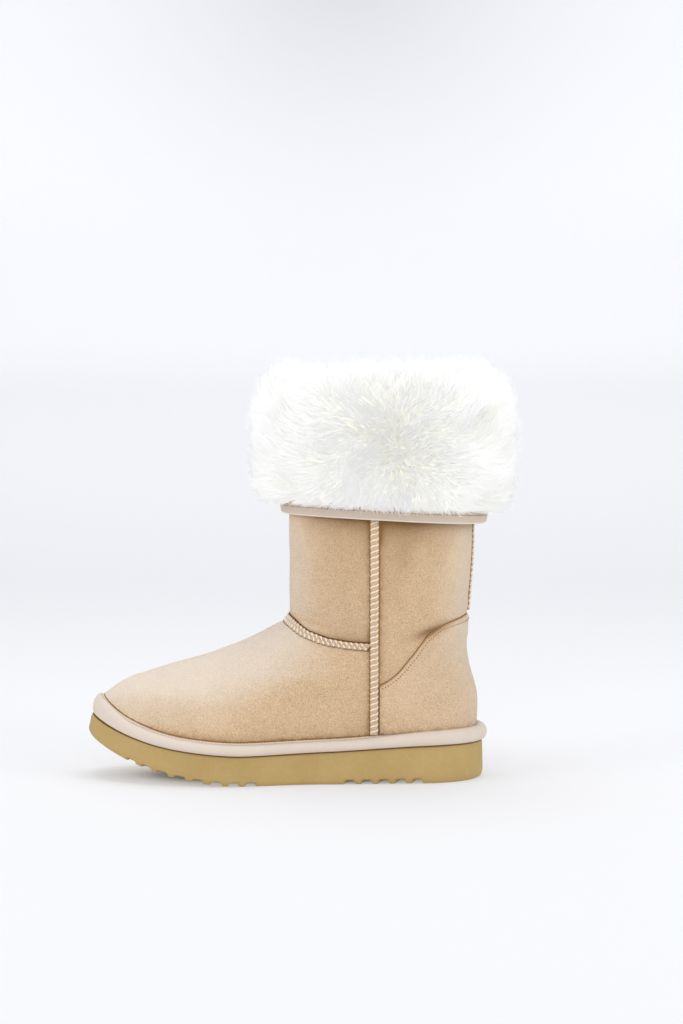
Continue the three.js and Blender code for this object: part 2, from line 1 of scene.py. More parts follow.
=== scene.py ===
"""A sheepskin boot for the left foot: suede, seams, welt, sole and a deep fleece cuff.

Lengths are in millimetres until a mesh is written. +X is the toe, +Y the outer side of the foot
and +Z up. r counts the rings of the upper from the feather line to the top of the shaft, and u
goes round it from the toe (0) by the outer side to the heel (pi) and back by the inner side.
"""

import bpy
import numpy as np
from bpy.props import FloatProperty, IntProperty, PointerProperty
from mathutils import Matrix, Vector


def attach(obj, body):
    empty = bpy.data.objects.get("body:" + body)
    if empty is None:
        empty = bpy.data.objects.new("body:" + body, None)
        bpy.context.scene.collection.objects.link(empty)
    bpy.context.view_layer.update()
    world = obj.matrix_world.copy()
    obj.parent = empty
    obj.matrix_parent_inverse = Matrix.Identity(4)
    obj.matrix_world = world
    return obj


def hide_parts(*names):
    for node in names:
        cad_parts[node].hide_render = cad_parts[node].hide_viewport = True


bl_info = {
    "name": "Sheepskin boot",
    "version": (1, 0, 0),
    "blender": (4, 5, 0),
    "location": "View3D > Sidebar > Boot",
    "description": "Builds a suede sheepskin boot with a turned-down fleece cuff",
    "category": "Add Mesh",
}

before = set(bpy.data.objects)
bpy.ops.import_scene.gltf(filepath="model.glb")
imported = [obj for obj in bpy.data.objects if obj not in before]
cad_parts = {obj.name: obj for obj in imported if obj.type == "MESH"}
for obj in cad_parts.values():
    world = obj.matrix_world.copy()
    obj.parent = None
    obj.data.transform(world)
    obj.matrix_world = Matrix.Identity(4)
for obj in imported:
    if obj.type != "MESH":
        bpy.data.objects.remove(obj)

MM = 0.001

# The last and the shaft.
LAST_LENGTH = 259.5
HEEL_BEHIND = 20.5
BALL_WIDTH = 92.0
WAIST_WIDTH = 68.0
HEEL_WIDTH = 64.0
BALL_SWING = 3.0
TOE_SWING = 6.0
INSTEP_HEIGHT = 108.5
SHAFT_DEPTH = 126.0
SHAFT_WIDTH = 114.0
SHAFT_FORWARD = 44.0
SHAFT_TOP = 262.0
WALL = 2.2
CLEARANCE = 0.3
LAST_TOE = LAST_LENGTH - HEEL_BEHIND
SHAFT_FRONT = SHAFT_FORWARD + SHAFT_DEPTH / 2
SHAFT_BACK = SHAFT_FORWARD - SHAFT_DEPTH / 2

# The unit sole.
HEEL_THICKNESS = 25.2
WAIST_THICKNESS = 21.7
BALL_THICKNESS = 20.0
TOE_THICKNESS = 14.4
SPRING_START = 134.0
SPRING_RADIUS = 230.0
LEDGE = 4.7
HEEL_LEDGE = 6.0
SIDE_FLARE = 1.2
TOE_FLARE = 2.6
HEEL_FLARE = 0.5
EDGE_ROUND = 2.4
SOLE_BACK = -HEEL_BEHIND - HEEL_LEDGE - HEEL_FLARE
SOLE_TOE = LAST_TOE + LEDGE + TOE_FLARE
FOREFOOT_PITCH = 11.9
FOREFOOT_GROOVE_START = 129.7
FOREFOOT_GROOVE_COUNT = 8
HEEL_PITCH = 11.2
HEEL_GROOVE_START = 18.6
HEEL_GROOVE_COUNT = 5
GROOVE_WIDTH = 7.5
GROOVE_DEPTH = 2.7
GROOVE_WAVE = 2.4
GROOVE_WAVE_LENGTH = 46.0
FOREFOOT_GROOVES = FOREFOOT_GROOVE_START + FOREFOOT_PITCH * np.arange(FOREFOOT_GROOVE_COUNT)
HEEL_GROOVES = HEEL_GROOVE_START + HEEL_PITCH * np.arange(HEEL_GROOVE_COUNT)
SOLE_COLUMNS = 640

# The welt and the insole.
WELT_HEIGHT = 9.2
WELT_DEPTH = 7.4
WELT_HEEL_SWELL = 1.6
WELT_TOE_RISE = 6.2
WELT_TOE_DROP = 2.4
WELT_SAG = 1.5
WELT_BEAD_PITCH = 2.35
WELT_GATHER_PITCH = 6.4
WELT_COLUMNS = 600
INSOLE_THICKNESS = 5.0
INSOLE_COLUMNS = 240

# Seams and counter.
SEAM_WIDTH = 6.6
SEAM_RAISE = 1.5
COUNTER_RAISE = 1.1
SIDE_SEAM_FORWARD = 48.7
BACK_SEAM_WIDTH = 6.0
GUTTER = 1.4
THREAD_RADIUS = 0.52
INSTEP_FALL = 15.0
INSTEP_SEAM_RISE = 0.5
COUNTER_HEIGHT = 113.2
VAMP_EDGE = SIDE_SEAM_FORWARD + SEAM_WIDTH / 2 + CLEARANCE
COUNTER_EDGE = SIDE_SEAM_FORWARD - SEAM_WIDTH / 2 - CLEARANCE
SEAM_STEP = 0.42
SEAM_COLUMNS = 19
INSTEP_SEAM_COLUMNS = 23
CORD_PITCH = 3.85
INSTEP_CORD_PITCH = 3.6
# Pitch, length and radius of each row's stitches.
STITCHES = {"counter": (2.1, 0.85, 0.42), "binding": (2.4, 1.2, 0.36)}

# The cuff.
CUFF_FRONT_GAP = 2.3
CUFF_BACK_GAP = 7.0
HEM_FRONT = 182.0
HEM_BACK = 175.0
BINDING_THICKNESS = 1.2
BINDING_HEIGHT = 8.6
BINDING_INNER_HEIGHT = 6.0
FLEECE_DEPTH = 19.5
FLEECE_CREST = 15.0
LINING_DEPTH = 11.0
FLEECE_PROUD = 7.2
HIGHEST_DENSE = 288.0
GROUND_INSET = 7.5
OUTER_CROWN = 1.74
INNER_CROWN = 2 * np.pi - 1.4
CROWN_ROW = 2.3
LAST_HAIR_ROW = 10.6
BINDING_COLUMNS = 420
GROUND_COLUMNS = 160
GROUND_ROWS = 70

# How the upper's sections blend along the foot.
TIP_STEEPNESS = 18.0
ANKLE_WIDTH_SHARE = 1.18
HEEL_STATION = 0.13
WAIST_STATION = 0.4
BALL_STATION = 0.7

# Colours, as linear red, green and blue.
SUEDE_LIGHT = (0.797, 0.585, 0.375)
SUEDE_DARK = (0.525, 0.345, 0.185)
# The suede's paler colour for painted light, and its deeper colour for painted shade.
SUEDE_PAINTED_LIGHT = (0.87, 0.745, 0.62)
SUEDE_PAINTED_SHADE = (0.27, 0.145, 0.055)
SEAM_PALE = (0.73, 0.515, 0.325)
# The gutter colour is painted shade for crevices too narrow to shade themselves: beside the seams,
# over the counter's edge, and under and above the welt. The stitches take it too.
SEAM_GUTTER = (0.29, 0.15, 0.045)
THREAD = (0.95, 0.88, 0.77)
WELT_CREAM = (0.70, 0.615, 0.54)
BINDING_CREAM = (0.60, 0.505, 0.42)
# The binding's paler rim colour is a painted highlight.
BINDING_PAINTED_HIGHLIGHT = (0.84, 0.74, 0.64)
FOAM_LIGHT = (0.525, 0.375, 0.158)
FOAM_DARK = (0.405, 0.27, 0.094)
FLEECE_WHITE = (0.655, 0.66, 0.67)
# The root colour is brighter than the tips': painted light that lifts the shade deep in the pile. The
# glow below is painted light too.
FLEECE_ROOT = (0.86, 0.84, 0.735)
FLEECE_GLOW = 0.29
BACKDROP_COLOUR = (0.95, 0.955, 0.98)
# The floor's cool colour under the boot, painted for its shadow.
FLOOR_PAINTED_SHADOW = (0.70, 0.745, 0.855)
SCUFFED_FOAM = (0.82, 0.73, 0.52)
LAMP_WHITE = (1.0, 0.99, 0.97)
FRONT_LAMP_WHITE = (1.0, 0.995, 0.98)
SURROUND_WHITE = (0.95, 0.97, 1.0)


def smooth(v):
    """0 below 0, 1 above 1 and a soft step between."""
    t = np.clip(v, 0.0, 1.0)
    return t * t * (3.0 - 2.0 * t)


def lerp(a, b, t):
    return a + (b - a) * t


def spline(values, i, t):
    """The smooth curve through rows of values, at t of the way from row i to the next one."""
    a, b, c, d = (values[np.clip(i + k, 0, len(values) - 1)] for k in (-1, 0, 1, 2))
    return b + 0.5 * t * (c - a + t * (2 * a - 5 * b + 4 * c - d + t * (3 * (b - c) + d - a)))


def read_table(at, values, place):
    """A table's column at places between its rows, with a smooth curve through them."""
    at, values = np.asarray(at, float), np.asarray(values, float)
    i = np.clip(np.searchsorted(at, place, side="left") - 1, 0, len(at) - 2)
    return spline(values, i, np.clip((place - at[i]) / (at[i + 1] - at[i]), 0.0, 1.0))


# The sole's thickness along its length.
SOLE_SHARES = (0, 0.12, 0.24, 0.38, 0.56, 0.7, 0.86, 1)
SOLE_THICKNESS = (
    HEEL_THICKNESS,
    HEEL_THICKNESS,
    lerp(HEEL_THICKNESS, WAIST_THICKNESS, 0.4),
    WAIST_THICKNESS,
    BALL_THICKNESS,
    lerp(BALL_THICKNESS, TOE_THICKNESS, 0.07),
    lerp(BALL_THICKNESS, TOE_THICKNESS, 0.6),
    TOE_THICKNESS,
)


def ground_height(x):
    """The tread's height: flat, then an arc that springs up towards the toe."""
    ahead = np.clip(x - SPRING_START, 0.0, SPRING_RADIUS * 0.9)
    return SPRING_RADIUS - np.sqrt(SPRING_RADIUS**2 - ahead**2)


def seat_height(x):
    """The sole's upper face: the ground height and the sole's thickness there."""
    share = np.clip((x - SOLE_BACK) / (SOLE_TOE - SOLE_BACK), 0.0, 1.0)
    return ground_height(x) + read_table(SOLE_SHARES, SOLE_THICKNESS, share)


def swing(x):
    """How far the last's middle lies to the outer side."""
    share = np.clip((x + HEEL_BEHIND) / LAST_LENGTH, 0.0, 1.0)
    return read_table((0, 0.36, 0.62, 0.82, 1), (0, BALL_SWING, BALL_SWING, 0, -TOE_SWING), share)


# The foot's rings, in shares: front, front rise, back, back rise, heel, waist and ball width, leg,
# length of the round front and back, and how far the seat's curve holds.
FOOT_RINGS = np.array([
    (1, 0, 0, 0, 1, 1, 1, 0, 0.355, 0.14, 1),
    (0.988, 0.205, -0.002, 0.105, 1.03, 1.04, 1.02, 0, 0.357, 0.14, 0.95),
    (0.973, 0.265, -0.005, 0.2, 1.07, 1.08, 1.03, 0, 0.385, 0.145, 0.74),
    (0.948, 0.338, -0.006, 0.3, 1.1, 1.12, 1.025, 0.01, 0.43, 0.155, 0.56),
    (0.905, 0.42, -0.004, 0.39, 1.11, 1.15, 1.01, 0.05, 0.5, 0.17, 0.4),
    (0.826, 0.517, 0.003, 0.48, 1.12, 1.18, 1, 0.12, 0.6, 0.19, 0.25),
    (0.716, 0.64, 0.0125, 0.58, 1.13, 1.2, 1, 0.22, 0.71, 0.23, 0.12),
    (0.612, 0.788, 0.02, 0.69, 1.15, 1.22, 1, 0.36, 0.76, 0.29, 0.04),
    (0.535, 0.935, 0.024, 0.8, 1.16, 1.24, 1, 0.52, 0.74, 0.35, 0),
])

# The leg's rings, in shares: front, front rise, back, back rise, leg, round front, round back.
LEG_RINGS = np.array([
    (1.02, 0.008, 0.937, -0.055, 0.66, 0.66, 0.4),
    (0.992, 0.062, 0.944, 0.012, 0.79, 0.58, 0.45),
    (0.99, 0.17, 0.966, 0.125, 0.91, 0.52, 0.485),
    (1, 0.41, 1, 0.38, 1, 0.5, 0.5),
    (1, 1, 1, 1, 1, 0.5, 0.5),
])


def ring_table():
    """All rings in millimetres: front x and z, back x and z, half widths, leg, rounds and hold."""
    toe_seat = seat_height(LAST_TOE) + CLEARANCE
    heel_seat = seat_height(-HEEL_BEHIND) + CLEARANCE
    foot, leg = FOOT_RINGS.T, LEG_RINGS.T
    half = SHAFT_DEPTH / 2
    ones = np.ones(len(LEG_RINGS))
    foot_rows = (
        foot[0] * LAST_LENGTH - HEEL_BEHIND,
        lerp(toe_seat, INSTEP_HEIGHT, foot[1]),
        foot[2] * LAST_LENGTH - HEEL_BEHIND,
        lerp(heel_seat, INSTEP_HEIGHT, foot[3]),
        foot[4] * HEEL_WIDTH / 2,
        foot[5] * WAIST_WIDTH / 2,
        foot[6] * BALL_WIDTH / 2,
        *foot[7:],
    )
    leg_rows = (
        SHAFT_FORWARD + leg[0] * half,
        lerp(INSTEP_HEIGHT, SHAFT_TOP, leg[1]),
        SHAFT_FORWARD - leg[2] * half,
        lerp(INSTEP_HEIGHT, SHAFT_TOP, leg[3]),
        ones * ANKLE_WIDTH_SHARE * HEEL_WIDTH / 2,
        ones * ANKLE_WIDTH_SHARE * WAIST_WIDTH / 2,
        ones * BALL_WIDTH / 2,
        *leg[4:],
        ones * 0,
    )
    return np.concatenate([np.stack(foot_rows, 1), np.stack(leg_rows, 1)])


RINGS = ring_table()
TOP_RING = len(RINGS) - 1.0
# From this ring on the shaft is plain, so that its rows can lie further apart.
SHAFT_RING = 11.6


def ring_at(r):
    """The eleven columns of the ring at a place between the table's rings."""
    i = np.clip(np.floor(r).astype(int), 0, len(RINGS) - 2)
    return np.moveaxis(spline(RINGS, i, (r - i)[..., None]), -1, 0)


def end_round(v):
    """A quarter ellipse: 0 at the very end of a ring, 1 where the round end meets its side."""
    t = np.clip(v, 0.0, 1.0)
    return np.sqrt(t * (2.0 - t))


def ring_z(ring, x, share):
    """A ring's height: the line from back to front, with the seat's curve as far as it holds."""
    front_x, front_z, back_x, back_z = ring[:4]
    hold = ring[10]
    rise = share ** lerp(1.0, TIP_STEEPNESS, smooth(2.0 * hold - 1.0))
    bend = seat_height(x) - lerp(seat_height(back_x), seat_height(front_x), rise)
    return lerp(back_z, front_z, rise) + hold * bend


def upper_point(r, u):
    """The outer face of the upper, as points in the last axis."""
    r, u = np.broadcast_arrays(np.asarray(r, float), np.asarray(u, float))
    ring = ring_at(r)
    front_x, _, back_x, _, heel, waist, ball, leg, round_front, round_back, _ = ring
    share = (1.0 + np.cos(u)) / 2.0
    x = lerp(back_x, front_x, share)
    ends = end_round((1.0 - share) / round_front) * end_round(share / round_back)
    along = (x + HEEL_BEHIND) / LAST_LENGTH
    behind = lerp(heel, waist, smooth((along - HEEL_STATION) / (WAIST_STATION - HEEL_STATION)))
    foot = lerp(behind, ball, smooth((along - WAIST_STATION) / (BALL_STATION - WAIST_STATION)))
    half = lerp(foot, SHAFT_WIDTH / 2, leg) * ends
    y = swing(x) * (1.0 - leg) + np.sign(np.sin(u)) * half
    return np.stack([x, y, ring_z(ring, x, share)], -1)


def unit(v):
    return v / np.maximum(np.linalg.norm(v, axis=-1, keepdims=True), 1e-9)


def upper_normal(r, u):
    """The outward normal, from the cross product of small steps along and up the face."""
    r, u = np.broadcast_arrays(np.asarray(r, float), np.asarray(u, float))
    step = 0.002
    along = upper_point(r, u + step) - upper_point(r, u - step)
    up = upper_point(np.minimum(r + step, TOP_RING), u) - upper_point(np.maximum(r - step, 0), u)
    return unit(np.cross(along, up))


def level_out(r, u):
    """The level direction straight out of the upper."""
    normal = upper_normal(r, u)
    normal[..., 2] = 0.0
    return unit(normal)


def back_share(u):
    """0 at the toe and 1 at the heel."""
    return (1.0 - np.cos(u)) / 2.0


HALVINGS = 26


def find_on_side(x, z, side):
    """r and u of the upper at a place in the side view, by halving the span of r that holds it:
    side is 1 outside and -1 inside."""
    low, high = np.zeros(x.shape), np.full(x.shape, TOP_RING)
    for _ in range(HALVINGS):
        middle = (low + high) / 2
        ring = ring_at(middle)
        share = np.clip((x - ring[2]) / (ring[0] - ring[2]), 0.0005, 0.9995)
        above = ring_z(ring, x, share) > z
        low, high = np.where(above, low, middle), np.where(above, middle, high)
    u = np.arccos(2.0 * share - 1.0)
    return middle, u if side > 0 else 2.0 * np.pi - u


def crossing(steps, over):
    """Where each column of over first rises through 0, between the steps of its rows."""
    first = np.clip(np.argmax(over > 0, axis=0), 1, len(steps) - 1)
    pick = np.arange(over.shape[1])
    low, high = over[first - 1, pick], over[first, pick]
    return lerp(steps[first - 1], steps[first], np.clip(-low / (high - low), 0.0, 1.0))


def find_on_curve(u, curve):
    """r where the upper crosses a curve of the side view, for each angle u."""
    steps = np.linspace(0.6, TOP_RING, 900)
    points = upper_point(steps[:, None], u)
    return crossing(steps, points[..., 2] - curve(points[..., 0]))


# Three large primes that mix a lattice cell's numbers into one key.
LATTICE_PRIMES = np.array([73856093, 19349663, 83492791])


def value_noise(points, size, seed):
    """Soft noise between -1 and 1 from a lattice of random values, one cell per size."""
    scaled = points / size
    cell = np.floor(scaled).astype(np.int64)
    inside = scaled - cell
    inside = inside * inside * (3.0 - 2.0 * inside)
    total = np.zeros(points.shape[:-1])
    for corner in range(8):
        step = np.array([corner & 1, (corner >> 1) & 1, (corner >> 2) & 1])
        key = ((cell + step) * LATTICE_PRIMES).sum(-1) + seed * 7919
        key = (key ^ (key >> 13)) * 1274126177
        value = ((key ^ (key >> 16)) & 0xFFFF) / 32767.5 - 1.0
        weight = np.where(step == 1, inside, 1.0 - inside).prod(-1)
        total += value * weight
    return total


# Curves of the side view.
def welt_crest(x):
    return seat_height(x) + WELT_HEIGHT + WELT_HEEL_SWELL + 2 * CLEARANCE


def instep_curve(x):
    """The instep seam's height: it falls from the bend back to the side seam."""
    share = (x - VAMP_EDGE) / (SHAFT_FRONT - VAMP_EDGE)
    fall = np.interp(share, (-0.3, 0, 0.28, 0.55, 0.79, 1, 1.22), (1.02, 1, 0.93, 0.78, 0.48, 0, -0.5))
    return INSTEP_HEIGHT + INSTEP_SEAM_RISE - fall * INSTEP_FALL


def counter_curve(x):
    """The counter's top edge: an S that rises from the side seam to the back."""
    share = (COUNTER_EDGE - x) / (COUNTER_EDGE - SHAFT_BACK)
    at = (0, 0.19, 0.36, 0.49, 0.65, 0.87, 1, 1.3)
    rise = read_table(at, (0.41, 0.512, 0.682, 0.822, 0.92, 0.972, 1, 1.06), share)
    return lerp(welt_crest(COUNTER_EDGE), COUNTER_HEIGHT, rise)


def fading(distance, reach):
    """1 up to distance 0 and fading beyond it, to about a third at every further reach."""
    return np.exp(-np.clip(distance, 0, None) / reach)


def bell(*shares):
    """1 in the middle of a soft spot, and about a third where its shares make 1 together."""
    return np.exp(-sum(share**2 for share in shares))


CREASE_SHARPNESS = 2.5
# Soft troughs: x and z of the middle, angle in degrees, length, width, depth, side.
CREASES = (
    (11.5, 103.0, 20, 15.0, 4.2, 2.0, 1),
    (9.5, 109.4, 15, 13.0, 5.0, -1.1, 1),
    (33.0, 160.0, 84, 24.0, 7.0, 1.3, 1),
    (20.0, 166.0, 80, 20.0, 8.0, -0.5, 1),
    (24.0, 140.0, 60, 22.0, 9.0, 0.5, 1),
    (86.0, 128.0, 70, 30.0, 10.0, 0.45, 1),
    (120.0, 60.0, 25, 40.0, 14.0, 0.5, 1),
    (76.0, 70.0, 80, 26.0, 12.0, 0.55, 1),
    (15.0, 112.0, -12, 16.0, 4.5, 0.95, -1),
    (34.0, 150.0, 80, 24.0, 8.0, 0.6, -1),
    (90.0, 84.0, -35, 24.0, 6.0, 0.6, -1),
    (76.0, 66.0, 75, 26.0, 12.0, 0.6, -1),
)


def relief(points):
    """How far the suede stands off its plain form: listed troughs, gathers at the welt,
    hollows beside the seams and a slight unevenness."""
    x, y, z = points[..., 0], points[..., 1], points[..., 2]
    off = 0.32 * value_noise(points, 26.0, 3) + 0.14 * value_noise(points, 9.0, 5)
    for mid_x, mid_z, angle, length, width, depth, side in CREASES:
        a = np.radians(angle)
        along = (x - mid_x) * -np.cos(a) + (z - mid_z) * np.sin(a)
        across = (x - mid_x) * np.sin(a) + (z - mid_z) * np.cos(a)
        fade = bell(along / length, across / width) ** CREASE_SHARPNESS
        off -= depth * fade * (np.sign(y) == side)
    above_welt = z - seat_height(x) - WELT_HEIGHT
    gathers = np.sin(x * 2 * np.pi / WELT_GATHER_PITCH + 2.2 * value_noise(points, 11.0, 9))
    off += 0.13 * gathers * fading(above_welt, 4.0) * smooth((above_welt + 3) / 3)
    beside = np.abs(x - SIDE_SEAM_FORWARD) - SEAM_WIDTH / 2
    off -= 0.35 * bell(beside / 2.4)
    above_instep = z - instep_curve(x)
    off -= 0.4 * bell(above_instep / 5.0) * (x > SIDE_SEAM_FORWARD)
    above_counter = z - counter_curve(x) - 1.0
    off -= 0.35 * bell(above_counter / 2.2) * (x < SIDE_SEAM_FORWARD)
    return np.maximum(off, -0.9 * WALL)


# The dent over the counter and the hollow above it, both in painted shade: x and z of the middle, and
# how it slants.
DENT_X, DENT_Z, DENT_SLANT = 11.5, 104.3, 0.34
HOLLOW_X, HOLLOW_Z, HOLLOW_SLANT = 30.6, 152.0, 0.2
# The painted shadow of the cuff is deepest at the middle of the shaft's side, and ends this far from
# it.
SHADE_X, SHADE_REACH = 42.0, 62.0


def painted_shading(points, normal):
    """Painted light and shade on the nap's colour. Above 0, painted light: where the vamp faces up,
    and a painted highlight on the front and back of the shaft. Below 0, painted shade: the cuff's
    shadow, beside the seams, along the welt, over the counter, in its dent and the hollow above it."""
    x, y, z = points[..., 0], points[..., 1], points[..., 2]
    # Painted light: paler where the vamp faces up.
    pale = 0.85 * smooth(normal[..., 2] * 1.3 + 0.12) * smooth((x - 40.0) / 40.0)
    # Painted highlight: paler where the shaft faces the toe and where it faces the heel.
    painted_highlight = smooth((np.abs(normal[..., 0]) - 0.45) / 0.5) * smooth((z - 60.0) / 50.0)
    pale = np.maximum(pale, 0.32 * painted_highlight)
    # Painted shadow of the cuff below its hem, stronger towards the toe.
    hem = lerp(HEM_BACK, HEM_FRONT, smooth((x - 20.0) / 60.0)) + 2.0
    from_side = x - SHADE_X
    to_side = 1.0 - 0.85 * np.clip(np.abs(from_side) / SHADE_REACH, 0.0, 1.0) ** 3
    to_side *= 1.0 + 0.4 * np.clip(from_side / 40.0, -1.0, 1.0)
    # A noise that makes the painted shade patchy.
    shade_patches = 0.8 + 0.35 * value_noise(points, 14.0, 81)
    deep = (0.9 * fading(hem - z, 9.0) * shade_patches + 0.22 * fading(hem - z, 45.0)) * to_side
    # Painted shade beside the side seams.
    beside = np.abs(x - SIDE_SEAM_FORWARD) - SEAM_WIDTH / 2
    specks = 1.0 + 0.6 * value_noise(points, 2.4, 83)
    deep += 0.62 * fading(beside, 1.9) * shade_patches * specks
    # Painted shade above the instep seam.
    above_instep = z - instep_curve(x) - SEAM_WIDTH / 2
    near = fading(above_instep, 3.2) * (above_instep > -SEAM_WIDTH)
    deep += 0.6 * near * (x > SIDE_SEAM_FORWARD)
    # Painted shade along the top of the welt.
    above_welt = z - seat_height(x) - WELT_HEIGHT - 0.5
    deep += (0.5 * fading(above_welt, 1.6) + 0.22 * fading(above_welt, 6.0)) * shade_patches * specks
    # Painted shade just over the counter's edge.
    above_counter = z - counter_curve(x)
    over = (x < SIDE_SEAM_FORWARD) * (above_counter > -0.8)
    deep += 0.3 * fading(above_counter, 2.5) * over
    # Painted shade in the dent over the counter and in the hollow above it, on the outer side.
    dent = bell((x - DENT_X) / 12.0, (z - DENT_Z + DENT_SLANT * (x - DENT_X)) / 3.6)
    shaded_hollow = bell((x - HOLLOW_X + HOLLOW_SLANT * (z - HOLLOW_Z)) / 9.0, (z - HOLLOW_Z) / 24.0)
    deep += (0.75 * dent + 0.2 * shaded_hollow * shade_patches) * (y > 0)
    return np.where(deep > pale * 0.6, pale * 0.5 - deep, pale - deep)


def write_mesh(name, points, faces, mats, slots=None, attributes=None):
    """A smooth mesh object from millimetre points and rows of corner numbers, 3 or 4 to a face."""
    mesh = bpy.data.meshes.new(name)
    blocks = faces if isinstance(faces, list) else [faces]
    blocks = [np.asarray(block, np.int32) for block in blocks]
    sizes = np.concatenate([np.full(len(block), block.shape[1], np.int32) for block in blocks])
    corners = np.concatenate([block.ravel() for block in blocks])
    mesh.vertices.add(len(points))
    mesh.vertices.foreach_set("co", (np.asarray(points) * MM).astype(np.float32).ravel())
    mesh.loops.add(len(corners))
    mesh.loops.foreach_set("vertex_index", corners)
    mesh.polygons.add(len(sizes))
    starts = np.concatenate([[0], np.cumsum(sizes)[:-1]]).astype(np.int32)
    mesh.polygons.foreach_set("loop_start", starts)
    mesh.polygons.foreach_set("loop_total", sizes)
    mesh.polygons.foreach_set("use_smooth", np.ones(len(sizes), bool))
    if slots is not None:
        mesh.polygons.foreach_set("material_index", np.asarray(slots, np.int32))
    for key, values in (attributes or {}).items():
        kind, field = ("FLOAT", "value") if values.ndim == 1 else ("FLOAT_VECTOR", "vector")
        layer = mesh.attributes.new(key, kind, "POINT")
        layer.data.foreach_set(field, values.astype(np.float32).ravel())
    mesh.update(calc_edges=True)
    for mat in mats:
        mesh.materials.append(mat)
    obj = bpy.data.objects.new(name, mesh)
    bpy.context.scene.collection.objects.link(obj)
    return obj


def cells(number):
    """The faces between a grid of point numbers, turned to face outwards for rows that go up."""
    corners = (number[:-1, :-1], number[:-1, 1:], number[1:, 1:], number[1:, :-1])
    return np.stack(corners, -1).reshape(-1, 4)


def turned_over(faces):
    return faces[:, [0, 3, 2, 1]]


def grid_faces(rows, columns, wrap_rows=False, wrap_columns=False):
    """The faces of a grid whose points are counted row by row; a wrapped side closes on itself."""
    number = np.arange(rows * columns).reshape(rows, columns)
    if wrap_rows:
        number = np.concatenate([number, number[:1]])
    if wrap_columns:
        number = np.concatenate([number, number[:, :1]], 1)
    return cells(number)


def grid_object(
    name, grid, mats, wrap_rows=False, wrap_columns=False, row_slots=None, attributes=None
):
    """A mesh object from a grid of points; row_slots gives each row of cells its material."""
    rows, columns = grid.shape[:2]
    faces = grid_faces(rows, columns, wrap_rows, wrap_columns)
    slots = None
    if row_slots is not None:
        slots = np.repeat(np.asarray(row_slots), columns - (not wrap_columns))
    return write_mesh(name, grid.reshape(-1, 3), faces, mats, slots, attributes)


def place(obj, material_slot, *nodes):
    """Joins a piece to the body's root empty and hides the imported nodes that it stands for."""
    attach(obj, "root")
    if nodes:
        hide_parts(*nodes)
    return obj


def angles(count):
    return 2.0 * np.pi * (np.arange(count) + 0.5) / count


def way_along(path):
    """How far every point of a path lies from its start."""
    return np.concatenate([[0], np.cumsum(np.linalg.norm(np.diff(path, axis=0), axis=1))])


def ring_steps(low, high, spacing):
    """Places between two rings, about one spacing of height apart."""
    r = np.linspace(low, high, 600)
    length = way_along(upper_point(r, 1.2))
    return np.interp(np.arange(0, length[-1] + spacing, spacing), length, r)


def sample_grid(grid, row, column):
    """Points between the points of a grid, by straight lines in both directions."""
    rows, columns = grid.shape[:2]
    row, column = np.clip(row, 0, rows - 1.001), np.clip(column, 0, columns - 1.001)
    i, j = row.astype(int), column.astype(int)
    s, t = (row - i)[..., None], (column - j)[..., None]
    near = lerp(grid[i, j], grid[i, j + 1], t)
    far = lerp(grid[i + 1, j], grid[i + 1, j + 1], t)
    return lerp(near, far, s)


def tubes(paths, radius, sides=5):
    """Round tubes with pointed ends along many paths of equal length, as points and faces."""
    count, steps = paths.shape[:2]
    tangent = unit(np.gradient(paths, axis=1))
    aside = unit(np.cross(tangent, np.array([0.3, 0.2, 1.0])))
    up = np.cross(aside, tangent)
    turn = 2.0 * np.pi * np.arange(sides) / sides
    taper = np.sqrt(np.clip(1.0 - np.linspace(-0.97, 0.97, steps) ** 6, 0, 1))[:, None, None]
    ring = np.cos(turn)[:, None] * aside[:, :, None] + np.sin(turn)[:, None] * up[:, :, None]
    points = paths[:, :, None] + radius * taper * ring
    one = grid_faces(steps, sides, wrap_columns=True)
    faces = one[None] + (np.arange(count) * steps * sides)[:, None, None]
    return points.reshape(-1, 3), faces.reshape(-1, 4)


# Materials.
def node_group(name, inputs, outputs):
    """An empty shader group with its sockets: each input is a name, a kind and a value."""
    group = bpy.data.node_groups.new(name, "ShaderNodeTree")
    for label, kind, value in inputs:
        socket = group.interface.new_socket(label, in_out="INPUT", socket_type=kind)
        if value is not None:
            socket.default_value = value
    for label, kind in outputs:
        group.interface.new_socket(label, in_out="OUTPUT", socket_type=kind)
    return group, group.nodes.new("NodeGroupInput"), group.nodes.new("NodeGroupOutput")


def set_inputs(node, **values):
    """Sets inputs of a node by name, with a low line for every space: a value or a colour."""
    for label, value in values.items():
        value = (*value, 1.0) if isinstance(value, tuple) and len(value) == 3 else value
        node.inputs[label.replace("_", " ")].default_value = value


def attribute(tree, name):
    node = tree.nodes.new("ShaderNodeAttribute")
    node.attribute_name = name
    return node


def noise(tree, vector, scale, detail=3.0, rough=0.55, distortion=0.0):
    node = tree.nodes.new("ShaderNodeTexNoise")
    set_inputs(node, Scale=scale, Detail=detail, Roughness=rough, Distortion=distortion)
    tree.links.new(vector, node.inputs["Vector"])
    return node.outputs["Fac"]


def maths(tree, operation, a, b=0.0, c=0.0, clamp=False):
    node = tree.nodes.new("ShaderNodeMath")
    node.operation, node.use_clamp = operation, clamp
    for socket, value in zip(node.inputs, (a, b, c)):
        if isinstance(value, (int, float)):
            socket.default_value = value
        else:
            tree.links.new(value, socket)
    return node.outputs[0]


def mixed(tree, factor, a, b):
    node = tree.nodes.new("ShaderNodeMix")
    node.data_type = "RGBA"
    colours = [s for s in node.inputs if s.type == "RGBA"]
    for socket, value in zip((node.inputs[0], *colours), (factor, a, b)):
        if isinstance(value, tuple):
            socket.default_value = (*value, 1.0)
        elif isinstance(value, (int, float)):
            socket.default_value = value
        else:
            tree.links.new(value, socket)
    return next(s for s in node.outputs if s.type == "RGBA")


def bump(tree, height, distance, strength=1.0):
    node = tree.nodes.new("ShaderNodeBump")
    set_inputs(node, Distance=distance * MM, Strength=strength)
    tree.links.new(height, node.inputs["Height"])
    return node.outputs["Normal"]


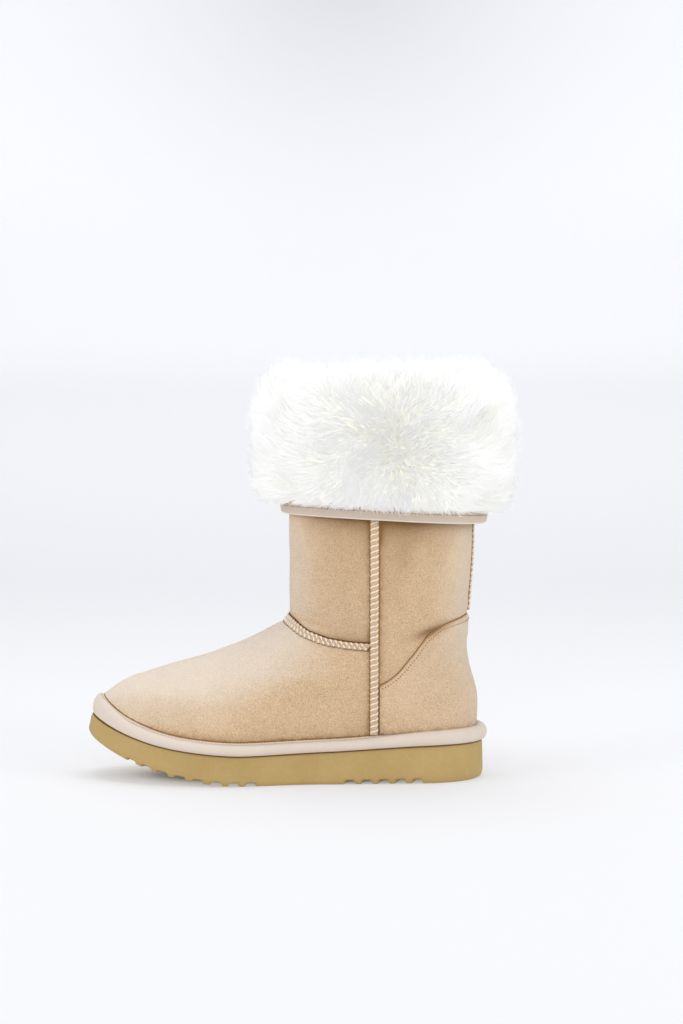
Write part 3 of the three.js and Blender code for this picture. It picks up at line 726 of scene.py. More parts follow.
def nap_group():
    """Suede's nap: a tone from patches, brushed streaks and grain, and a matching normal."""
    group, inside, outside = node_group(
        "Suede nap",
        [("Vector", "NodeSocketVector", None), ("Contrast", "NodeSocketFloat", 1.0)],
        [("Tone", "NodeSocketFloat"), ("Normal", "NodeSocketVector")],
    )
    vector = inside.outputs["Vector"]
    broad = noise(group, vector, 22.0, 3.0, 0.5, 0.4)
    patch = noise(group, vector, 150.0, 4.0, 0.6, 1.2)
    grain = noise(group, vector, 1600.0, 1.0, 0.6)
    tone = maths(group, "MULTIPLY_ADD", broad, 0.7, -0.35)
    tone = maths(group, "MULTIPLY_ADD", patch, 0.5, tone)
    tone = maths(group, "MULTIPLY_ADD", grain, 3.1, tone)
    tone = maths(group, "SUBTRACT", tone, 1.8)
    tone = maths(group, "MULTIPLY_ADD", tone, inside.outputs["Contrast"], 0.62, clamp=True)
    group.links.new(tone, outside.inputs["Tone"])
    height = maths(group, "MULTIPLY_ADD", noise(group, vector, 800.0, 2.0, 0.6), 0.8, grain)
    group.links.new(bump(group, height, 0.8, 0.84), outside.inputs["Normal"])
    return group


def leather_group():
    """Fine leather: a tone from soft mottling, and a normal from pores and grain."""
    group, inside, outside = node_group(
        "Fine leather",
        [("Vector", "NodeSocketVector", None)],
        [("Tone", "NodeSocketFloat"), ("Normal", "NodeSocketVector")],
    )
    vector = inside.outputs["Vector"]
    mottle = noise(group, vector, 60.0, 4.0, 0.6, 0.5)
    pores = group.nodes.new("ShaderNodeTexVoronoi")
    set_inputs(pores, Scale=900.0)
    group.links.new(vector, pores.inputs["Vector"])
    grain = noise(group, vector, 700.0, 3.0, 0.6, 0.3)
    tone = maths(group, "MULTIPLY_ADD", mottle, 1.2, -0.1, clamp=True)
    group.links.new(tone, outside.inputs["Tone"])
    height = maths(group, "MULTIPLY_ADD", pores.outputs["Distance"], 0.6, grain)
    group.links.new(bump(group, height, 0.22, 0.4), outside.inputs["Normal"])
    return group


def scaled(colour, *shares):
    """A colour with its red, green and blue times one share, or each times its own."""
    return tuple(c * k for c, k in zip(colour, shares if len(shares) == 3 else shares * 3))


def new_material(name):
    """A material with its tree, its principled shader and the object coordinates."""
    mat = bpy.data.materials.new(name)
    mat.use_nodes = True
    tree = mat.node_tree
    shader = next(n for n in tree.nodes if n.type == "BSDF_PRINCIPLED")
    coords = tree.nodes.new("ShaderNodeTexCoord").outputs["Object"]
    return mat, tree, shader, coords


def use_group(tree, group, vector, **values):
    node = tree.nodes.new("ShaderNodeGroup")
    node.node_tree = group
    tree.links.new(vector, node.inputs["Vector"])
    set_inputs(node, **values)
    return node


def suede_material(name, light, dark, nap, contrast=1.0):
    """Suede: the nap's tone between two colours, made paler where the mesh paints light and deeper
    where it paints shade.
    """
    _, tree, shader, coords = new_material(name)
    group = use_group(tree, nap, coords, Contrast=contrast)
    nap_tint = attribute(tree, "painted_shading").outputs["Fac"]
    pale = maths(tree, "MULTIPLY", nap_tint, 1.0, clamp=True)
    deep = maths(tree, "MULTIPLY", nap_tint, -1.0, clamp=True)
    colour = mixed(tree, group.outputs["Tone"], dark, light)
    painted_light_nap = mixed(tree, group.outputs["Tone"], scaled(SUEDE_PAINTED_LIGHT, 0.84), SUEDE_PAINTED_LIGHT)
    colour = mixed(tree, deep, mixed(tree, pale, colour, painted_light_nap), SUEDE_PAINTED_SHADE)
    tree.links.new(colour, shader.inputs["Base Color"])
    tree.links.new(group.outputs["Normal"], shader.inputs["Normal"])
    # Less sheen where the painted shade is deep.
    sheen_cut_by_shade = maths(tree, "MULTIPLY_ADD", deep, -0.9, 0.9)
    tree.links.new(sheen_cut_by_shade, shader.inputs["Sheen Weight"])
    set_inputs(shader, Roughness=0.95, Specular_IOR_Level=0.15)
    set_inputs(shader, Sheen_Roughness=0.45, Sheen_Tint=(1.0, 0.96, 0.9))


def leather_material(name, colour, grain, roughness=0.5):
    _, tree, shader, coords = new_material(name)
    group = use_group(tree, grain, coords)
    toned = mixed(tree, group.outputs["Tone"], scaled(colour, 0.93, 0.90, 0.86), colour)
    tree.links.new(toned, shader.inputs["Base Color"])
    tree.links.new(group.outputs["Normal"], shader.inputs["Normal"])
    set_inputs(shader, Roughness=roughness, Specular_IOR_Level=0.35)


def plain_material(name, colour, roughness=0.9):
    _, _, shader, _ = new_material(name)
    set_inputs(shader, Base_Color=colour, Roughness=roughness, Specular_IOR_Level=0.2)


# Scuffs on the foam lie along the sole: their scale along, across and up it, per metre.
SCUFF_SCALE = (14.0, 60.0, 170.0)


def foam_material():
    """Foam rubber: a moulded tone that deepens in blotches, faint scuffs and small pits."""
    _, tree, shader, coords = new_material("moulded foam")
    broad = noise(tree, coords, 30.0, 4.0, 0.6, 0.3)
    fine = noise(tree, coords, 420.0, 3.0, 0.6)
    tone = maths(tree, "MULTIPLY_ADD", broad, 1.1, -0.35)
    tone = maths(tree, "MULTIPLY_ADD", fine, 0.5, tone, clamp=True)
    colour = mixed(tree, tone, FOAM_DARK, FOAM_LIGHT)
    stretch = tree.nodes.new("ShaderNodeMapping")
    stretch.inputs["Scale"].default_value = SCUFF_SCALE
    tree.links.new(coords, stretch.inputs["Vector"])
    scuffs = noise(tree, stretch.outputs["Vector"], 1.0, 2.0, 0.5)
    scuffs = maths(tree, "MULTIPLY_ADD", scuffs, 9.0, -6.3, clamp=True)
    colour = mixed(tree, maths(tree, "MULTIPLY", scuffs, 0.2), colour, SCUFFED_FOAM)
    tree.links.new(colour, shader.inputs["Base Color"])
    tree.links.new(bump(tree, fine, 0.15, 0.35), shader.inputs["Normal"])
    set_inputs(shader, Roughness=0.62, Specular_IOR_Level=0.3)


def fleece_material(name, root, tip, glow):
    """Fleece: a bright cream at the root, painted light that lifts the pile's shade, to white at the
    tip.
    Light from either side of a hair counts by the pile's own form, n: albedo * max(n . l, 0), and a
    faint glow, painted light strongest at the root, stands for light that wanders in the pile."""
    _, tree, shader, _ = new_material(name)
    height = attribute(tree, "height").outputs["Fac"]
    form = attribute(tree, "form").outputs["Vector"]
    colour = mixed(tree, height, root, tip)
    tree.links.new(colour, shader.inputs["Base Color"])
    tree.links.new(form, shader.inputs["Normal"])
    tree.links.new(colour, shader.inputs["Emission Color"])
    # Painted light: the glow is half as strong again at the root as at the tip.
    deeper = maths(tree, "MULTIPLY_ADD", height, -0.5 * glow, 1.5 * glow)
    tree.links.new(deeper, shader.inputs["Emission Strength"])
    set_inputs(shader, Roughness=0.9, Specular_IOR_Level=0.0)
    turned = tree.nodes.new("ShaderNodeVectorMath")
    turned.operation = "SCALE"
    set_inputs(turned, Scale=-1.0)
    tree.links.new(form, turned.inputs[0])
    clear = tree.nodes.new("ShaderNodeBsdfTranslucent")
    tree.links.new(colour, clear.inputs["Color"])
    tree.links.new(turned.outputs["Vector"], clear.inputs["Normal"])
    both = tree.nodes.new("ShaderNodeAddShader")
    tree.links.new(shader.outputs[0], both.inputs[0])
    tree.links.new(clear.outputs[0], both.inputs[1])
    out = next(n for n in tree.nodes if n.type == "OUTPUT_MATERIAL")
    tree.links.new(both.outputs[0], out.inputs["Surface"])


def material(name):
    """A material by name, made with the others the first time that one is asked for."""
    if not bpy.data.node_groups:
        nap, grain = nap_group(), leather_group()
        suede_material("nap suede", SUEDE_LIGHT, SUEDE_DARK, nap)
        suede_material("seam strip", SEAM_PALE, scaled(SEAM_PALE, 0.86), nap, 0.8)
        plain_material("seam gutter", SEAM_GUTTER, 1.0)
        plain_material("deep gutter", scaled(SEAM_GUTTER, 0.48, 0.38, 0.25), 1.0)
        plain_material("thread", THREAD, 0.7)
        leather_material("welt leather", WELT_CREAM, grain, 0.5)
        leather_material("binding leather", BINDING_CREAM, grain, 0.6)
        leather_material("binding painted highlight", BINDING_PAINTED_HIGHLIGHT, grain, 0.6)
        foam_material()
        fleece_material("cuff pile", FLEECE_ROOT, FLEECE_WHITE, FLEECE_GLOW)
        # The pile's ground has the bright root colour: painted light in the pile's shade.
        plain_material("pile ground", FLEECE_ROOT, 1.0)
        suede_material("wool lining", (0.90, 0.86, 0.77), (0.78, 0.72, 0.60), nap, 1.4)
    return bpy.data.materials[name]


# The upper.
def besides_top(u, out, z):
    """A point beside the shaft's top, a level distance out of it, at a height."""
    point = upper_point(TOP_RING, u) + level_out(TOP_RING, u) * np.asarray(out)[..., None]
    point[..., 2] = z
    return point


def gap_at(u):
    """How far the turned-down wall hangs off the shaft."""
    return lerp(CUFF_FRONT_GAP, CUFF_BACK_GAP, back_share(u))


def hem_at(u):
    """The height of the cuff's lower edge."""
    return lerp(HEM_FRONT, HEM_BACK, back_share(u) ** 1.7)


def build_upper(columns):
    """The suede face with its relief, the fold at the top and the wall turned down outside."""
    u = angles(columns)
    low = ring_steps(0.0, SHAFT_RING, 1.15)
    high = ring_steps(SHAFT_RING, TOP_RING, 4.0)[1:]
    r = np.concatenate([low, high])[:, None]
    face = upper_point(r, u)
    normal = upper_normal(r, u)
    look = painted_shading(face, normal)
    face = face + normal * relief(face)[..., None]
    turns = np.linspace(0.15, 0.85, 5)[:, None] * np.pi
    gap = gap_at(u)
    fold = besides_top(u, gap / 2 - np.cos(turns) * gap / 2, SHAFT_TOP + np.sin(turns) * gap / 2)
    hem = hem_at(u) + BINDING_THICKNESS + CLEARANCE
    drop = np.linspace(0, 1, 4)[:, None]
    back = besides_top(u + 0 * drop, gap + 0 * drop, lerp(SHAFT_TOP, hem, drop))
    front = besides_top(u + 0 * drop, gap + WALL + 0 * drop, lerp(hem, SHAFT_TOP, drop))
    over = besides_top(
        u,
        gap / 2 + np.cos(turns) * (gap / 2 + WALL),
        SHAFT_TOP + np.sin(turns) * (gap / 2 + WALL),
    )
    inner = [TOP_RING, *range(11, -1, -1)]
    lining_r = np.interp(np.arange(0, 12.01, 0.25), np.arange(len(inner)), inner)[:, None]
    wall = upper_point(lining_r, u)
    depth = WALL + 0.4 + 0.4 * value_noise(wall, 4.0, 21) - np.minimum(relief(wall), 0.0)
    wall = wall - upper_normal(lining_r, u) * depth[..., None]
    grid = np.concatenate([face, fold, back, front, over, wall])
    rows = len(grid)
    slots = np.ones(rows, int)
    slots[: len(face) + len(fold) + len(back)] = 0
    slots[rows - 1] = 0
    mats = [material("nap suede"), material("wool lining")]
    looks = np.zeros(grid.shape[:2])
    looks[: len(face)] = look
    obj = grid_object("suede_upper", grid, mats, True, True, slots, {"painted_shading": looks.ravel()})
    return place(obj, "suede", "upper")


def counter_grid(columns, rows, below, rise):
    """A grid over the counter: columns go round the heel from seam to seam. rows give the share
    of the way from the welt to the edge, below how far under the edge in millimetres, and rise
    how far each row stands off the upper."""
    steps = np.linspace(0.3, TOP_RING - 1.5, 500)
    ring = ring_at(steps)
    share = np.clip((COUNTER_EDGE - ring[2]) / (ring[0] - ring[2]), 0.001, 0.999)
    start = np.arccos(2.0 * share - 1.0)
    across = np.linspace(0.0, 1.0, columns)
    u = lerp(start[:, None], 2.0 * np.pi - start[:, None], across)
    points = upper_point(steps[:, None], u)
    over_edge = points[..., 2] - counter_curve(points[..., 0])
    over_welt = points[..., 2] - welt_crest(points[..., 0]) + WELT_HEEL_SWELL
    top, foot = (crossing(steps, over) for over in (over_edge, over_welt))
    per_ring = (points[-1, :, 2] - points[0, :, 2]) / (steps[-1] - steps[0])
    slope = np.abs(np.gradient(top) / np.gradient(across) / (2.0 * np.pi * 40.0) * per_ring)
    stretch = np.sqrt(1.0 + slope**2)
    r = lerp(foot, top, rows[:, None]) - below[:, None] * stretch / per_ring
    lean = np.interp(r, steps, start)
    u = lerp(lean, 2.0 * np.pi - lean, across)
    base = upper_point(r, u)
    normal = upper_normal(r, u)
    lift = CLEARANCE + relief(base) * 0.8 + rise[:, None] * COUNTER_RAISE
    return base + normal * lift[..., None], painted_shading(base, normal)


def build_counter(columns):
    """The heel counter with its rolled top edge, a dark line of painted shade over it and its
    stitches.
    """
    face, edge = 44, 9
    rows = np.concatenate([np.linspace(0, 0.94, face), np.ones(edge)])
    below = np.concatenate([np.zeros(face), np.linspace(1.6, 0, edge)])
    rise = np.concatenate([np.ones(face), 1.0 - np.linspace(0, 1, edge) ** 4 * 1.15])
    grid, look = counter_grid(columns, rows, below, rise)
    # Painted light on the counter: its shading is lifted by 0.1, and by up to 0.1 more as a painted
    # highlight along its rolled top edge.
    painted_highlight = (fading(below, 1.2) * (rows > 0.99))[:, None]
    look = {"painted_shading": np.minimum(look + 0.1 + 0.1 * painted_highlight, 1.0).ravel()}
    obj = grid_object("counter_panel", grid, [material("nap suede")], attributes=look)
    place(obj, "suede", "heel_counter")
    # A dark strip of painted shade along the top of the counter's edge.
    below = np.array([0.15, -0.2, -0.75, -1.0])
    line, _ = counter_grid(columns, np.ones(4), below, np.array([-0.1, -0.12, -0.16, -0.6]))
    obj = grid_object("counter_edge_line", line, [material("seam gutter")])
    place(obj, "suede")
    path, _ = counter_grid(900, np.ones(2), np.array([2.3, 2.31]), np.ones(2))
    points, faces = dashes(path[0], *STITCHES["counter"])
    obj = write_mesh("counter_stitches", points, faces, [material("seam gutter")])
    place(obj, "seam_thread")


def dashes(path, pitch, length, radius):
    """Short tubes at even places along one path."""
    way = way_along(path)
    middles = np.arange(pitch, way[-1] - pitch, pitch)
    along = middles[:, None] + np.linspace(-0.5, 0.5, 5) * length
    lines = np.stack([np.interp(along, way, path[:, k]) for k in range(3)], -1)
    return tubes(lines, radius, 4)


def cord_seam(name, base, normals, pitch, slant, strands, raise_by, node):
    """A seam over-sewn with thread: the strip puffs out between the threads and narrows under
    each, with a sunken gutter on both sides coloured dark as painted shade. base and normals are
    grids whose rows run along the seam, and whose columns cross it evenly from -GUTTER to GUTTER.
    With two strands, the puffs lie in two rows half a pitch apart, as in a braid."""
    rows, columns = base.shape[:2]
    braided = strands == 2
    c = np.linspace(-GUTTER, GUTTER, columns)
    s = np.arange(rows)[:, None] * SEAM_STEP
    shift = 0.5 * (c > 0) * braided
    phase = (s / pitch + slant * c * 0.5 + shift) * np.pi
    puff = np.abs(np.sin(phase)) ** 0.6
    edge = 0.8 + 0.2 * puff
    body = np.clip(1.0 - np.abs(c / edge) ** 2.4, 0.0, 1.0) ** 0.5
    cleft = 1.0 - 0.4 * bell(c / 0.16) * braided
    margin = 0.26 + (0.26 if braided else 0.06) * (c > 0)
    sunk = np.clip((np.abs(c) - edge - margin) / 0.08, 0, 1)
    height = raise_by * body * cleft * (0.55 + 0.45 * puff) + 0.18 - 1.1 * sunk
    grid = base + normals * height[..., None]
    middle = (c[1:] + c[:-1]) / 2
    mid_puff = (puff[1:, 1:] + puff[:-1, :-1]) / 2
    thin_below = 0.14 * (middle < 0) * braided
    slots = (np.abs(middle) > 0.8 + 0.2 * mid_puff + thin_below).astype(int).ravel()
    # The gutters are painted shade, darker for the braided seam.
    mats = [material("seam strip"), material("deep gutter" if braided else "seam gutter")]
    obj = write_mesh(name, grid.reshape(-1, 3), grid_faces(rows, columns), mats, slots)
    place(obj, "seam_thread", node)
    count = int(rows * SEAM_STEP / pitch)
    k = np.arange(1, count + 1)[:, None] - 0.3
    halves = ((-0.95, -0.05), (0.05, 0.95)) if braided else ((-0.95, 0.95),)
    for half, (low, high) in enumerate(halves):
        across = np.linspace(low, high, 11)
        bow = 0.1 * np.sin((across - low) / (high - low) * 2.0 * np.pi)
        row = (k - slant * across * 0.5 - 0.5 * half + bow) * pitch / SEAM_STEP
        column = (across / GUTTER + 1.0) / 2.0 * (columns - 1) + 0 * row
        lift = np.clip(1.0 - np.abs(across) ** 2.6, 0, 1) ** 0.5 * raise_by * 0.72 + 0.2
        path = sample_grid(base, row, column) + sample_grid(normals, row, column) * lift[:, None]
        points, faces = tubes(path, THREAD_RADIUS)
        obj = write_mesh(f"{name}_threads_{half + 1}", points, faces, [material("thread")])
        place(obj, "seam_thread")


def face_on(r, u):
    """Points and normals of the upper's face, with part of its relief."""
    base, normals = upper_point(r, u), upper_normal(r, u)
    return base + normals * (relief(base) * 0.6 + 0.1)[..., None], normals


def build_side_seam(side, name, node):
    """The upright seam of the shaft: side is 1 outside and -1 inside."""
    foot = welt_crest(SIDE_SEAM_FORWARD) - WELT_HEEL_SWELL
    z = np.arange(foot, SHAFT_TOP - 2.0, SEAM_STEP)[:, None]
    c = np.linspace(-GUTTER, GUTTER, SEAM_COLUMNS)
    x = SIDE_SEAM_FORWARD - side * c * (SEAM_WIDTH / 2 - 0.45) + 0 * z
    base, normals = face_on(*find_on_side(x, z + 0 * x, side))
    cord_seam(name, base, normals, CORD_PITCH, -0.8, 1, SEAM_RAISE, node)


def build_instep_seam():
    """The seam across the bend, found ring by ring round the front of the boot."""
    fine = np.linspace(-1.9, 1.9, 700)
    r_mid = find_on_curve(fine % (2 * np.pi), instep_curve)
    path = upper_point(r_mid, fine)
    seam_edge = SIDE_SEAM_FORWARD + SEAM_WIDTH / 2 - 0.6
    keep = path[:, 0] > seam_edge
    fine, r_mid, path = fine[keep], r_mid[keep], path[keep]
    r_mid = np.convolve(np.pad(r_mid, 6, "edge"), np.ones(13) / 13, "valid")
    path = upper_point(r_mid, fine)
    length = way_along(path)
    s = np.arange(0, length[-1], SEAM_STEP)
    u = np.interp(s, length, fine)[:, None]
    r = np.interp(s, length, r_mid)[:, None]
    per_ring = np.linalg.norm(upper_point(r + 0.05, u) - upper_point(r - 0.05, u), axis=-1) / 0.1
    c = np.linspace(-GUTTER, GUTTER, INSTEP_SEAM_COLUMNS)
    base, normals = face_on(r + c * (SEAM_WIDTH / 2 - 0.3) / per_ring, u + 0 * c)
    cord_seam("instep_cord", base, normals, INSTEP_CORD_PITCH, 1.3, 2, SEAM_RAISE, "instep_seam")


def build_back_seam():
    """The seam up the back of the shaft, from the counter to the top."""
    steps = np.linspace(8.0, TOP_RING, 600)
    heights = upper_point(steps, np.pi)[:, 2]
    z = np.arange(COUNTER_HEIGHT + 1.5, SHAFT_TOP - 2.0, SEAM_STEP)
    r = np.interp(z, heights, steps)[:, None]
    c = np.linspace(-GUTTER, GUTTER, SEAM_COLUMNS)
    half = BACK_SEAM_WIDTH / 2 - 0.4
    step = 0.02
    near = upper_point(r, np.pi + step) - upper_point(r, np.pi - step)
    u = np.pi + c * half * 2 * step / np.linalg.norm(near, axis=-1)
    base, normals = upper_point(r, u), upper_normal(r, u)
    cord_seam("back_cord", base, normals, CORD_PITCH, -0.6, 1, 1.25 * SEAM_RAISE, "back_seam")


# The welt.
def welt_height_at(u):
    b = back_share(u)
    swell, rise = WELT_HEEL_SWELL * smooth((b - 0.7) / 0.3), WELT_TOE_RISE * smooth((0.1 - b) / 0.1)
    return WELT_HEIGHT + swell + rise - welt_sag_at(u)


def welt_sag_at(u):
    """How far the padding is pressed down along the middle of the foot, in millimetres."""
    b = back_share(u)
    return WELT_SAG * smooth((b - 0.08) / 0.16) * smooth((0.86 - b) / 0.2)


def welt_depth_at(u):
    b = back_share(u)
    swell, drop = WELT_HEEL_SWELL * smooth((b - 0.7) / 0.3), WELT_TOE_DROP * smooth((0.3 - b) / 0.3)
    return WELT_DEPTH + swell - drop


def welt_point(u, out, up):
    """A point of the welt's section, with its shares of the depth and the height."""
    point = upper_point(up + 0 * u, u)
    point = point + level_out(0.0, u) * (CLEARANCE + out * welt_depth_at(u))[..., None]
    point[..., 2] = seat_height(point[..., 0]) + CLEARANCE + up * welt_height_at(u)
    return point


def welt_top_ring(u):
    """The ring of the upper that the welt's top meets."""
    per_ring = np.linalg.norm(upper_point(1.0, u) - upper_point(0.8, u), axis=-1) / 0.2
    return 1.0 - welt_sag_at(u) / per_ring


# The welt's section from its foot up, in shares of its depth and height.
WELT_OUT = (0.55, 0.86, 1.0, 0.9, 0.62, 0.3)
WELT_UP = (0.0, 0.12, 0.42, 0.74, 0.97, 1.0)
WELT_ROWS = 26


def build_welt():
    """The padded strip round the foot, slightly rippled, and the seam where it meets the suede."""
    u = angles(WELT_COLUMNS)
    at = np.arange(len(WELT_OUT))
    steps = np.linspace(0, at[-1], WELT_ROWS)
    section = zip(read_table(at, WELT_OUT, steps), read_table(at, WELT_UP, steps))
    body = np.array([welt_point(u, out, np.clip(up, 0, 1)) for out, up in section])
    ripple = 0.16 * value_noise(body, 7.0, 31) + 0.07 * value_noise(body, 2.6, 33)
    ripple = ripple * np.sin(np.linspace(0, np.pi, WELT_ROWS))[:, None]
    body = body + level_out(0.0, u) * ripple[..., None]
    rings = np.stack([welt_top_ring(u), 0 * u])
    inner = upper_point(rings, u) + upper_normal(rings, u) * CLEARANCE
    grid = np.concatenate([body, inner])
    slots = np.zeros(len(grid), int)
    # Painted shade: the cells under the welt and those of its back against the suede take the gutter
    # colour.
    slots[:4] = 1
    slots[-2:] = 1
    mats = [material("welt leather"), material("seam gutter")]
    obj = grid_object("padded_welt", grid, mats, True, True, slots)
    place(obj, "binding_leather", "sole_welt")
    build_welt_edge()


def build_welt_edge():
    """The beaded cord along the welt's top, and a dark line of painted shade between it and the suede.
    """
    fine = angles(2600)
    length = way_along(upper_point(1.04, fine))
    s = np.arange(0, length[-1] - 0.2, 0.4)
    u_even = np.interp(s, length, fine)[:, None]
    c = np.linspace(-1.0, 1.0, 9)
    beads = np.abs(np.sin(s * np.pi / WELT_BEAD_PITCH))[:, None] ** 0.7
    per_ring = np.linalg.norm(upper_point(1.15, u_even) - upper_point(0.95, u_even), axis=-1) / 0.2
    top = welt_top_ring(u_even) + 0.03
    r_cord = top + c * 0.9 * (0.65 + 0.35 * beads) / per_ring
    height = (1.0 - c**2) ** 0.5 * (0.6 + 0.5 * beads) + 0.05
    cord = upper_point(r_cord, u_even) + upper_normal(r_cord, u_even) * height[..., None]
    obj = grid_object("welt_edge_cord", cord, [material("welt leather")], wrap_rows=True)
    place(obj, "binding_leather")
    # A ragged dark strip, painted shade where the welt meets the suede.
    c = np.array([0.8, 1.0, 1.8, 2.2])
    ragged = 0.4 * value_noise(upper_point(top, u_even), 2.2, 35) * np.array([0, 0, 1, 1])
    r_line = top + (c + ragged) / per_ring
    base = upper_point(r_line, u_even)
    lift = relief(base) + np.array([0.0, 0.1, 0.1, -0.25])
    line = base + upper_normal(r_line, u_even) * lift[..., None]
    obj = grid_object("welt_edge_line", line[::3], [material("seam gutter")], wrap_rows=True)
    place(obj, "suede")


# The sole and insole.
def sole_point(u, flare, inset, rise):
    """A point of the sole's side: rise goes from the ground to the seat, and flare and inset are
    shares of the greatest flare and of the rounding."""
    b = back_share(u)
    heel, toe = smooth((b - 0.88) / 0.12), smooth((0.3 - b) / 0.3)
    widest = lerp(lerp(SIDE_FLARE, TOE_FLARE, toe), HEEL_FLARE, heel)
    out = lerp(LEDGE, HEEL_LEDGE, heel) + widest * flare - EDGE_ROUND * inset
    point = upper_point(0.0, u) + level_out(0.0, u) * out[..., None]
    point[..., 2] = lerp(ground_height(point[..., 0]), seat_height(point[..., 0]), rise)
    return point


def groove_depth(x, y):
    """How deep the tread's wavy grooves are at a place: rounded channels across the sole."""
    wave = GROOVE_WAVE * np.cos(2 * np.pi * y / GROOVE_WAVE_LENGTH)
    depth = np.zeros_like(x)
    for start in (*FOREFOOT_GROOVES, *HEEL_GROOVES):
        off = np.abs(x - start - wave) / (GROOVE_WIDTH / 2)
        depth = np.maximum(depth, np.clip(1.0 - off**4, 0.0, 1.0) ** 0.5)
    return depth * GROOVE_DEPTH


# The rows of the sole's side from the ground up, the rounding of its edges and its flare, in shares.
SIDE_RISE = (0, 0.02, 0.05, 0.09, 0.13, 0.18, 0.24, 0.34, 0.46, 0.58, 0.7, 0.82, 0.9, 0.96, 0.985, 1)
SIDE_INSET = ((0, 0.02, 0.07, 0.14, 0.22, 0.95, 0.985, 1), (1, 0.62, 0.28, 0.08, 0, 0, 0.05, 0.22))
SIDE_FLARE_SHARE = ((0, 0.22, 0.85, 1), (1, 1, 0.3, 0))


def sheet_numbers(count, sheet, first, last):
    """Point numbers of a sheet between two rims, whose own points are counted on from count."""
    own = count + np.arange(sheet.shape[0] * sheet.shape[1]).reshape(sheet.shape[:2])
    return np.concatenate([first[None], own, last[None]])


def build_outsole():
    """The unit sole: its flared side, the seat on top and the grooved tread underneath."""
    columns, half = SOLE_COLUMNS, SOLE_COLUMNS // 2
    u = angles(columns)
    rise = np.array(SIDE_RISE)
    rows = zip(np.interp(rise, *SIDE_FLARE_SHARE), np.interp(rise, *SIDE_INSET), rise)
    side = np.array([sole_point(u, flare, inset, up) for flare, inset, up in rows])
    open_side = np.clip(1.0 - rise[:, None] / 0.13, 0, 1) ** 0.5
    side[..., 2] += groove_depth(side[..., 0], side[..., 1]) * open_side
    across = np.linspace(0, 1, 46)[1:-1, None, None]
    under = lerp(side[0, :half], side[0, ::-1][:half], across)
    under[..., 2] = ground_height(under[..., 0]) + groove_depth(under[..., 0], under[..., 1])
    top = lerp(side[-1, :half], side[-1, ::-1][:half], across[::8])
    top[..., 2] = seat_height(top[..., 0])
    count = len(rise) * columns
    outer, inner = np.arange(half), columns - 1 - np.arange(half)
    last = count - columns
    beneath = sheet_numbers(count, under, outer, inner)
    above = sheet_numbers(count + len(under) * half, top, last + outer, last + inner)
    faces = [
        grid_faces(len(rise), columns, wrap_columns=True),
        turned_over(cells(beneath)),
        cells(above),
    ]
    points = np.concatenate([part.reshape(-1, 3) for part in (side, under, top)])
    obj = write_mesh("unit_sole", points, faces, [material("moulded foam")])
    place(obj, "foam_rubber", "outsole")


def build_insole():
    """The footbed: a flat pad with a softly rounded rim, closed on top and beneath."""
    columns, half = INSOLE_COLUMNS, INSOLE_COLUMNS // 2
    u = angles(columns)
    inset = WALL + CLEARANCE
    foot = upper_point(0.0, u) - upper_normal(0.0, u) * inset
    welt_top = upper_point(1.0, u) - upper_normal(1.0, u) * inset
    share = INSOLE_THICKNESS / WELT_HEIGHT
    side = np.array([lerp(foot, welt_top, share * k) for k in (0.0, 0.5, 0.85, 1.0)])
    across = np.linspace(0, 1, 24)[:, None, None]
    top = lerp(side[-1, :half], side[-1, ::-1][:half], across)
    top[..., 2] += 0.5 * value_noise(top, 5.0, 41) - 0.4
    bottom = lerp(foot[:half], foot[::-1][:half], across[[0, -1]])
    count = len(side) * columns
    faces = [
        grid_faces(len(side), columns, wrap_columns=True),
        count + grid_faces(len(top), half),
        turned_over(count + len(top) * half + grid_faces(len(bottom), half)),
    ]
    points = np.concatenate([part.reshape(-1, 3) for part in (side, top, bottom)])
    obj = write_mesh("footbed", points, faces, [material("wool lining")])
    place(obj, "lining_fleece", "insole")


# The cuff.
# The pile's outer form, from the binding up, over the crest and into the opening, in shares.
FLEECE_ACROSS = (0.62, 0.85, 0.97, 1.0, 0.98, 0.86, 0.6, 0.2, -0.42, -0.86, -1.0, -0.97)
FLEECE_UP = (0.0, 0.08, 0.24, 0.44, 0.64, 0.81, 0.94, 1.0, 0.985, 0.92, 0.82, 0.7)


def fleece_point(v, u, inset=0.0):
    """The pile's outer form: v counts the rows of the table, up the outside and over the crest."""
    at = np.arange(len(FLEECE_UP))
    across, up = read_table(at, FLEECE_ACROSS, v), read_table(at, FLEECE_UP, v)
    gap = gap_at(u)
    depth = np.where(across > 0, FLEECE_DEPTH, LINING_DEPTH)
    reach = gap / 2 + WALL + depth - inset * np.minimum(1.0, depth / FLEECE_DEPTH)
    low = hem_at(u) + BINDING_HEIGHT + CLEARANCE + 0.25 * inset
    crest = SHAFT_TOP + gap / 2 + WALL + FLEECE_CREST - inset
    return besides_top(u, gap / 2 + across * reach, lerp(low, crest, up))


def fleece_frame(v, u, inset):
    """Point, outward normal, and the level and rising directions of the pile's form."""
    step = 0.02
    last = len(FLEECE_UP) - 1.0
    higher, lower = np.minimum(v + step, last), np.maximum(v - step, 0.0)
    around = unit(fleece_point(v, u + step, inset) - fleece_point(v, u - step, inset))
    up = unit(fleece_point(higher, u, inset) - fleece_point(lower, u, inset))
    return fleece_point(v, u, inset), unit(np.cross(around, up)), around, up


